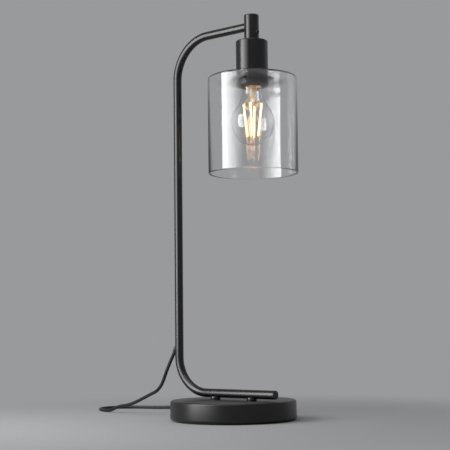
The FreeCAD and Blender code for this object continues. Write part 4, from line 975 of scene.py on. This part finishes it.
# %% Ribs of the shade ring
shade_ribs = linked("shade_ribs", bpy.data.meshes.new("shade_ribs"))
ribber = shade_ribs.modifiers.new("ribs", "NODES")
ribber.node_group = rib_tree()
set_inputs(
    ribber,
    Rib_Count=12,
    Collar_Radius=21.6 * MM,
    Rib_Width=2.0 * MM,
    Rib_Reach=0.98 * MM,
    Rib_Height=5.5 * MM,
    Rib_Foot=460.9 * MM,
    Edge=0.35 * MM,
    Start_Angle=math.radians(-2.53),
    Finish=finishes["black_phenolic"],
)
baked(shade_ribs)
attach(shade_ribs, "stand")

# %% [markdown]
# ## Glass shade
# The shade is a blown glass cylinder, open below, with a flat top that has the holder's hole in it. Its
# wall is real here, two and a half millimetres, because what shows as glass is the bending of light in that
# wall: the dark lines at its sides, and the bright lines at its rounded foot and shoulder.

# %% Glass cylinder
glass_line = [(59.5, 337.0, 1.24), (62.0, 337.0, 1.24), (62.0, 470.7, 3.0), (19.7, 470.7, 0.3)]
glass_line += [(19.7, 468.2, 0.3), (59.5, 468.2, 0.6)]
shade = turned("shade_cylinder", glass_line, "clear_glass", "stand", segments=256, steps=8)
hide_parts("glass_shade")

# %% [markdown]
# ## Lamp
# The lamp hangs cap upwards. Its cap is rolled from sheet with a round thread, and the shell that it screws
# into has the same wave on its inside. A thread is a radius that depends on height and angle together, so a
# short formula makes it, row by row.

# %% Threaded sleeves
THREAD_PITCH = 3.629
THREAD_FADE = 1.6


def wave_sleeve(name, finish, body, inner, outer, low, high, wave, on_inside, node):
    """A thin sleeve with a round thread on one of its faces, fading out at both ends."""
    segments, rows = 96, int((high - low) / 0.3)
    points, faces = [], []
    for side in (0, 1):
        for j in range(rows + 1):
            z = low + (high - low) * j / rows
            fade = min(1.0, (z - low) / THREAD_FADE, (high - z) / THREAD_FADE)
            for k in range(segments):
                a = 2 * math.pi * k / segments
                swell = wave * fade * math.cos(2 * math.pi * z / THREAD_PITCH + a)
                radius = (inner, outer)[side] + (swell if (side == 0) == on_inside else 0.0)
                points.append(Vector((HEAD_X + radius * math.cos(a), radius * math.sin(a), z)))
    around = [(k, (k + 1) % segments) for k in range(segments)]
    far = (rows + 1) * segments
    for base in [side * far + j * segments for side in (0, 1) for j in range(rows)]:
        faces += [[base + k, base + n, base + segments + n, base + segments + k] for k, n in around]
    for end in (0, rows * segments):
        faces += [[end + k, end + n, far + end + n, far + end + k] for k, n in around]
    piece = new_piece(name, points, faces, finish, body, sharp_degrees=60)
    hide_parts(node)


wave_sleeve("thread_shell", "contact_brass", "stand", 13.58, 13.95, 463.0, 486.45, 0.12, True, "screw_shell")
wave_sleeve("cap_sleeve", "bulb_cap_metal", "bulb", 12.7, 12.98, 458.8, 477.2, 0.11, False, "bulb_cap")

# %% [markdown]
# The cap is closed above by a crown, a cone of black glass and a button of solder, and brown cement fills
# it at the bulb's neck. The button rides on the body that only drops, because its round shape hides that it
# turns.

# %% The rest of the cap and the shell's flange
crown_line = [(0.0, 478.8), (11.5, 478.8, 0.4), (13.0, 477.2, 0.3), (12.7, 476.9)]
crown_line += [(11.1, 478.4), (0.0, 478.4)]
turned("cap_crown", crown_line, "bulb_cap_metal", "bulb")
flange_line = [(9.5, 486.5), (13.95, 486.5, 0.2), (13.95, 487.0), (9.5, 487.0, 0.1)]
turned("shell_flange", flange_line, "contact_brass", "stand")
cement_line = [(12.62, 458.9), (12.68, 458.9), (12.68, 467.0), (12.62, 467.0)]
cap_cement = turned("cap_cement", cement_line, "bulb_cap_metal", "bulb")
cap_cement.data.materials[0] = finishes["basing_cement"]
cone_line = [(0.0, 478.85), (11.4, 478.85, 0.3), (6.6, 481.6, 1.2), (4.5, 482.8, 0.2), (0.0, 482.8)]
black_cone = turned("cap_insulator", cone_line, "bulb_black_glass", "bulb")
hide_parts("bulb_insulator")
button_line = [(0.0, 482.8), (4.5, 482.8, 0.15), (4.5, 483.6, 0.4), (2.7, 484.8, 0.7), (0.0, 484.8)]
button = turned("cap_contact", button_line, "solder", "bulb_carrier")
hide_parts("bulb_contact")

# %% [markdown]
# The bulb is a globe that runs through a hollow curve into its neck. Two arcs give the outline, worked out
# from the radii, and the same arcs drawn in by the wall's thickness give the inside.

# %% Bulb glass
GLOBE_R = 30.5
NECK_R = 13.6
NECK_CURVE_R = 45.0
NECK_Z = 456.9
CAP_FIT_R = 12.6
BULB_TOP_Z = 466.8
BULB_WALL = 0.9
GLOBE_Z = NECK_Z - math.sqrt((GLOBE_R + NECK_CURVE_R) ** 2 - (NECK_R + NECK_CURVE_R) ** 2)
MEET = math.asin((NECK_Z - GLOBE_Z) / (GLOBE_R + NECK_CURVE_R))


def bulb_line(setback):
    line = []
    for i in range(41):
        a = -math.pi / 2 + (MEET + math.pi / 2) * i / 40
        r = GLOBE_R - setback
        line.append((abs(r * math.cos(a)) if i else 0.0, GLOBE_Z + r * math.sin(a)))
    for i in range(1, 19):
        a = MEET * (1 - i / 18)
        r = NECK_CURVE_R + setback
        line.append((NECK_R + NECK_CURVE_R - r * math.cos(a), NECK_Z - r * math.sin(a)))
    fit = CAP_FIT_R - setback
    line += [(NECK_R - setback - 0.12, NECK_Z + 0.8), (fit + 0.1, 458.5), (fit, 459.2), (fit, BULB_TOP_Z)]
    return line


bulb_outline = bulb_line(0.0) + list(reversed(bulb_line(BULB_WALL)))
bulb_skin = turned("bulb_skin", bulb_outline, "bulb_clear_glass", "bulb", segments=128)
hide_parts("bulb_glass")
print("globe's middle at z", round(GLOBE_Z, 2))


# %% [markdown]
# The stem is a tube of pressed glass: round and flared where it is sealed into the neck, and pinched flat
# at its tip. Each row of the table is a height, a half width and a half depth. Rings of points run round at
# each row, squarer where the stem is flat, and a skin closes them.

# %% Glass stem with its pressed tip
STEM_ROWS = (
    (466.3, 11.6, 11.6), (465.4, 11.6, 11.6), (464.6, 9.6, 9.6), (463.6, 7.2, 7.2), (462.6, 5.6, 5.6),
    (461.0, 4.6, 4.6), (458.0, 4.2, 4.2), (450.0, 4.2, 4.2), (445.6, 4.2, 4.0), (443.6, 4.2, 2.6),
    (442.2, 4.2, 1.5), (440.0, 4.2, 1.3), (438.0, 4.2, 1.3), (437.3, 4.0, 1.1), (437.0, 3.5, 0.7),
)


def stem_ring(z, across, deep):
    power = 1.0 if deep > 3.5 else 0.62
    ring = []
    for k in range(64):
        a = 2 * math.pi * k / 64
        x = math.copysign(abs(math.cos(a)) ** power, math.cos(a)) * across
        y = math.copysign(abs(math.sin(a)) ** power, math.sin(a)) * deep
        ring.append(Vector((HEAD_X + x, y, z)))
    return ring


def lofted(name, rings, finish, body, sharp_degrees=SHARP_DEGREES):
    """A closed skin through rings of points."""
    count = len(rings[0])
    points = [p for ring in rings for p in ring]
    faces = [list(range(count)), [(len(rings) - 1) * count + k for k in range(count)]]
    for j in range(0, (len(rings) - 1) * count, count):
        for k in range(count):
            n = (k + 1) % count
            faces.append([j + k, j + n, j + count + n, j + count + k])
    return new_piece(name, points, faces, finish, body, sharp_degrees)


stem_rings = [stem_ring(*row) for row in STEM_ROWS]
glass_stem = lofted("glass_stem", stem_rings, "bulb_clear_glass", "bulb")
# The stem takes the golden glass, whose tint is a painted glow of the filaments' light.
glass_stem.data.materials[0] = finishes["stem_glass"]
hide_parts("bulb_stem")

# %% [markdown]
# Clear glass stops next to no light, but a renderer treats its shadow as solid. So the three glasses throw
# none, and the softboxes and the filaments light what stands inside them.

# %% Light through the glasses
for clear in (shade, bulb_skin, glass_stem):
    clear.visible_shadow = False
    print(clear.name, "throws no shadow")

# %% [markdown]
# Four filaments lean inwards from a wide circle above to a narrow one below, where a bead of glass holds
# their wires together. Each is turned about its own axis with rounded ends, and all four are one piece,
# because they move together. The wires run to the stem's pressed tip and are bent with the tube's tree.

# %% Filaments
FILAMENT_TOP_Z = GLOBE_Z + 25.2
FILAMENT_FOOT_Z = GLOBE_Z - 18.3
FILAMENT_LONG = 43.79
filament_points = []
filament_faces = []
filament_lines = []
rod_corners = [(0.0, 0.0), (1.05, 0.0, 0.55), (1.05, FILAMENT_LONG, 0.55), (0.0, FILAMENT_LONG)]
rod_line = rounded(rod_corners, closed=False, steps=4)
for i in range(4):
    a = math.radians(26.4 + 90.0 * i)
    out = Vector((math.cos(a), math.sin(a), 0.0))
    top = Vector((HEAD_X, 0, FILAMENT_TOP_Z)) + out * 12.7
    low = Vector((HEAD_X, 0, FILAMENT_FOOT_Z)) + out * 7.7
    filament_lines.append((out, top, low))
    more, rings = turned_mesh(rod_line, 20, axis_frame(low, top - low), closed=False)
    filament_faces += [[v + len(filament_points) for v in face] for face in rings]
    filament_points += more
glow_rods = new_piece("glow_rods", filament_points, filament_faces, "filament_glow", "bulb")
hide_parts("filaments")

# %% Wires that carry the filaments
BEAD_R = 1.3
bead = Vector((HEAD_X, 0, FILAMENT_FOOT_Z - 3.0))
wire_lines = []
for out, top, low in filament_lines:
    along = (low - top).normalized()
    root = Vector((HEAD_X, 0, 443.0)) + out * 3.4
    wire_lines.append([low - along * 0.6, low + along * 1.5, bead])
    wire_lines.append([top + along * 0.6, top - along * 1.5, root])
carrier_wires = bent("carrier_wires", wire_lines, "support_wire", "bulb", 0.35, bend=0.8, ring=10, arc=4)
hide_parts("filament_supports")
bead_line = [(0.0, -BEAD_R)]
for i in range(1, 12):
    a = -math.pi / 2 + math.pi * i / 12
    bead_line.append((BEAD_R * math.cos(a), BEAD_R * math.sin(a)))
bead_line.append((0.0, BEAD_R))
turned("glass_bead", bead_line, "ceramic", "bulb", axis=(bead, (0, 0, 1)), segments=32)

# %% [markdown]
# ## What is on the cord
# The grommet is a short tapered bush of black plastic, set at the cord's own slope where it leaves the
# post. It keeps the cord from rubbing on the hole's edge.

# %% Grommet
bush_line = [(2.44, -9.8), (3.48, -9.8), (3.3, -0.4), (3.75, 0.2, 0.2), (3.7, 1.3, 0.4), (3.25, 1.8, 0.3)]
bush_line += [(3.15, 6.4, 0.6), (2.44, 6.4, 0.2)]
bush_axis = (pierce, cord_way)
exit_bush = turned("exit_bush", bush_line, "black_moulded", "stand", axis=bush_axis, segments=48)
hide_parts("cord_grommet")

# %% [markdown]
# The inline switch is two moulded halves with a rocker in the upper one. Its outline is a bar with drawn-in
# shoulders. A flat outline is raised to a block, a Bevel modifier rounds its long edges, and the rocker's
# well is cut afterwards, so that the well keeps its crisp edge.

# %% Raised outlines
def block(outline, low, high):
    """Points and faces of a block over a flat outline."""
    points = [Vector((p.x, p.y, z)) for z in (low, high) for p in outline]
    count = len(outline)
    faces = [list(range(count)), list(range(count, 2 * count))]
    faces += [[k, (k + 1) % count, count + (k + 1) % count, count + k] for k in range(count)]
    return points, faces


def raised(name, outline, low, high, edge, only=None, segments=5):
    """A moulded block with its level edges rounded. only keeps to the edges at one height."""
    piece = new_piece(name, *block(outline, low, high), "black_moulded", "stand")
    mesh = piece.data
    weights = mesh.attributes.new("bevel_weight_edge", "FLOAT", "EDGE")
    for line in mesh.edges:
        heights = [mesh.vertices[v].co.z / MM for v in line.vertices]
        level = abs(heights[0] - heights[1]) < 0.01
        wanted = only is None or abs(heights[0] - only) < 0.01
        weights.data[line.index].value = 1.0 if level and wanted else 0.0
    soft = piece.modifiers.new("soft_edges", "BEVEL")
    soft.limit_method = "WEIGHT"
    soft.width = edge * MM
    soft.segments = segments
    return baked(piece)


# %% Outline of the switch
def switch_outline():
    half, wide, nose, run = 30.0, 12.5, 5.5, 10.0
    drop = wide - nose
    bend = (run ** 2 + drop ** 2) / (2 * drop)
    quarter = []
    for i in range(13):
        a = math.asin(run / bend) * (1 - i / 12)
        quarter.append((half - run + bend * math.sin(a), wide - bend + bend * math.cos(a)))
    line = quarter + [(-x, y) for x, y in reversed(quarter)]
    line += [(x, -y) for x, y in reversed(line)]
    return [switch_point(x, y, 0.0) for x, y in line]


# %% Switch halves
SWITCH_LOW = 0.15
SWITCH_HIGH = 16.0
switch_lower = raised("switch_lower", switch_outline(), SWITCH_LOW, 7.92, 2.0, only=SWITCH_LOW)
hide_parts("switch_base")
switch_upper = raised("switch_upper", switch_outline(), 8.0, SWITCH_HIGH, 2.0, only=SWITCH_HIGH)
well_corners = ((-10.99, -5.9), (10.99, -5.9), (10.99, 5.9), (-10.99, 5.9))
cut(switch_upper, *block([switch_point(x, y, 0.0) for x, y in well_corners], 7.0, 17.0))
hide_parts("switch_cover")


# %% Rocker
def rocker_rings(pin_z):
    """The rocker's side view, tilted about its pin, at four places across its width."""
    tilt, crown = math.radians(8.0), 4.7
    top = []
    for i in range(13):
        x = -10.0 + 20.0 * i / 12
        flat = crown - abs(x) * math.tan(tilt)
        top.append((x, min(flat, crown - 0.28 - x * x * 0.006) if abs(x) < 4 else flat))
    side = top + [(9.4, 0.0), (5.0, -4.2), (-5.0, -4.2), (-9.4, 0.0)]
    rings = []
    for across, inset in ((-5.5, 0.25), (-5.25, 0.0), (5.25, 0.0), (5.5, 0.25)):
        ring = []
        for x, z in side:
            x, z = x * (1 - inset / 10), z - math.copysign(inset, z) if abs(z) > 1 else z
            along = x * math.cos(tilt) + z * math.sin(tilt)
            ring.append(switch_point(along, across, pin_z - x * math.sin(tilt) + z * math.cos(tilt)))
        rings.append(ring)
    return rings


PIN_Z = 12.5
rocker_sides = rocker_rings(PIN_Z)
rocker = lofted("rocker_cap", rocker_sides, "black_moulded", "rocker", sharp_degrees=30)
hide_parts("switch_rocker")
pins_line = [(0.0, -7.1), (1.25, -7.1, 0.2), (1.25, 7.1, 0.2), (0.0, 7.1)]
pin_axis = (switch_point(0, 0, PIN_Z), switch_point(0, 1, 0) - switch_point(0, 0, 0))
rocker_pins = turned("rocker_pins", pins_line, "black_moulded", "rocker", axis=pin_axis, segments=32)

# %% [markdown]
# The plug is slim, with a waist behind it, two part-sleeved round pins, and a boot of five soft rings that
# lets the cord bend. The boot's outline is written by a loop, ring by ring.

# %% Plug body
plug_way = plug_point(1, 0, 0) - plug_point(0, 0, 0)
plug_half = [(24.0, -8.0, 3.0), (39.12, -17.5, 6.0), (60.0, -17.5, 3.0)]
plug_side = plug_half + [(x, -y, edge) for x, y, edge in reversed(plug_half)]
plug_outline = [plug_point(p.x, p.y, 0.0) for p in rounded(plug_side, steps=7)]
plug_shell = raised("plug_shell", plug_outline, 0.15, 13.75, 2.4, segments=6)
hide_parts("plug_body")

# %% Boot
boot_line = [(0.0, 0.0), (3.1, 0.0, 0.5)]
for i in range(5):
    r = 3.1 + 0.3 * i
    start = 4.8 * i
    boot_line += [(r + 0.21, start + 3.3, 0.35), (r - 0.4, start + 3.7, 0.2), (r - 0.4, start + 4.5, 0.2)]
    if i < 4:
        boot_line.append((r + 0.3, start + 4.85, 0.35))
boot_line += [(4.6, 24.0), (0.0, 24.0)]
boot_axis = (plug_point(0, 0, PLUG_CORD_Z), plug_way)
boot = turned("cord_boot", boot_line, "black_moulded", "stand", axis=boot_axis, segments=48)
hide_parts("plug_boot")


# %% Pins and their sleeves
def pair_of(name, line, finish):
    points, faces = [], []
    closed = line[0][0] > TINY
    for side in (-9.5, 9.5):
        here = axis_frame(plug_point(60.0, side, PLUG_CORD_Z), plug_way)
        more, rings = turned_mesh(rounded(line, closed, steps=6), 40, here, closed)
        faces += [[v + len(points) for v in face] for face in rings]
        points += more
    return new_piece(name, points, faces, finish, "stand")


pin_line = [(0.0, 1.0), (1.4, 1.0), (1.4, 10.0), (2.0, 10.0, 0.1), (2.0, 19.0, 1.6), (0.0, 19.0)]
contact_pins = pair_of("contact_pins", pin_line, "pin_metal")
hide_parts("plug_pins")
sleeve_line = [(1.45, -0.2), (1.75, -0.2), (1.75, 9.95, 0.1), (1.45, 9.95)]
pin_sleeves = pair_of("pin_sleeves", sleeve_line, "black_moulded")
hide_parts("plug_pin_sleeves")

# %% [markdown]
# A wire tie holds the coil. It goes round the wound cord as a rectangle with rounded corners, and its two
# ends are twisted round each other on top.

# %% Wire tie of the coil
near_x, far_x, low_z, high_z = -42.8, -20.13, 0.55, 12.0
tie_side = [(-31.0, low_z), (far_x, low_z), (far_x, high_z)]
tie_side += [(near_x, high_z), (near_x, low_z), (-31.4, low_z)]
tie_lines = [[(x, COIL_Y, z) for x, z in tie_side]]
for phase in (0.0, math.pi):
    twist = []
    for i in range(18):
        a = phase + i * 0.8
        y, z = COIL_Y + 0.36 * math.cos(a), high_z + 0.1 + 0.035 * i + 0.36 * math.sin(a)
        twist.append((far_x - 2.2 + 0.3 * i, y, z))
    tie_lines.append(twist)
coil_band = bent("coil_band", tie_lines, "black_moulded", "stand", 0.45, bend=2.0, ring=12, arc=6)
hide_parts("coil_tie")

# %% [markdown]
# ## The cord
# The cord is one flex in two lengths, with the switch between them. Each length takes the sheath's finish and
# rides on the stand, and the frame's own cord parts are hidden.

# %% The cord's finish and body
for piece, nodes in ((lead_cord, ["cord_lead"]), (run_cord, ["cord_middle", "cord_coil", "cord_tail"])):
    piece.data.materials.append(finishes["cord_sheath"])
    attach(piece, "stand")
    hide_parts(*nodes)

switch_point(30.0, 0.0, 8.0) * MM

# %% [markdown]
# ## Parts that stay as they are
# Bolts, washers, terminals, the weight and the other inner parts keep the engineering model's shape and
# only take their finish. A part inside a housing is seldom seen, but the cup can come off in a later scene.

# %% Finishes for the frame's own parts
slot_of = {row["node"]: row["material_slot"] for row in frame["record"]["subparts"]}
kept = 0
for name, node in frame["nodes"].items():
    for place in node.material_slots:
        place.material = finishes[slot_of[name]]
    if not node.material_slots:
        node.data.materials.append(finishes[slot_of[name]])
    kept += not node.hide_render
print("frame parts shown:", kept)
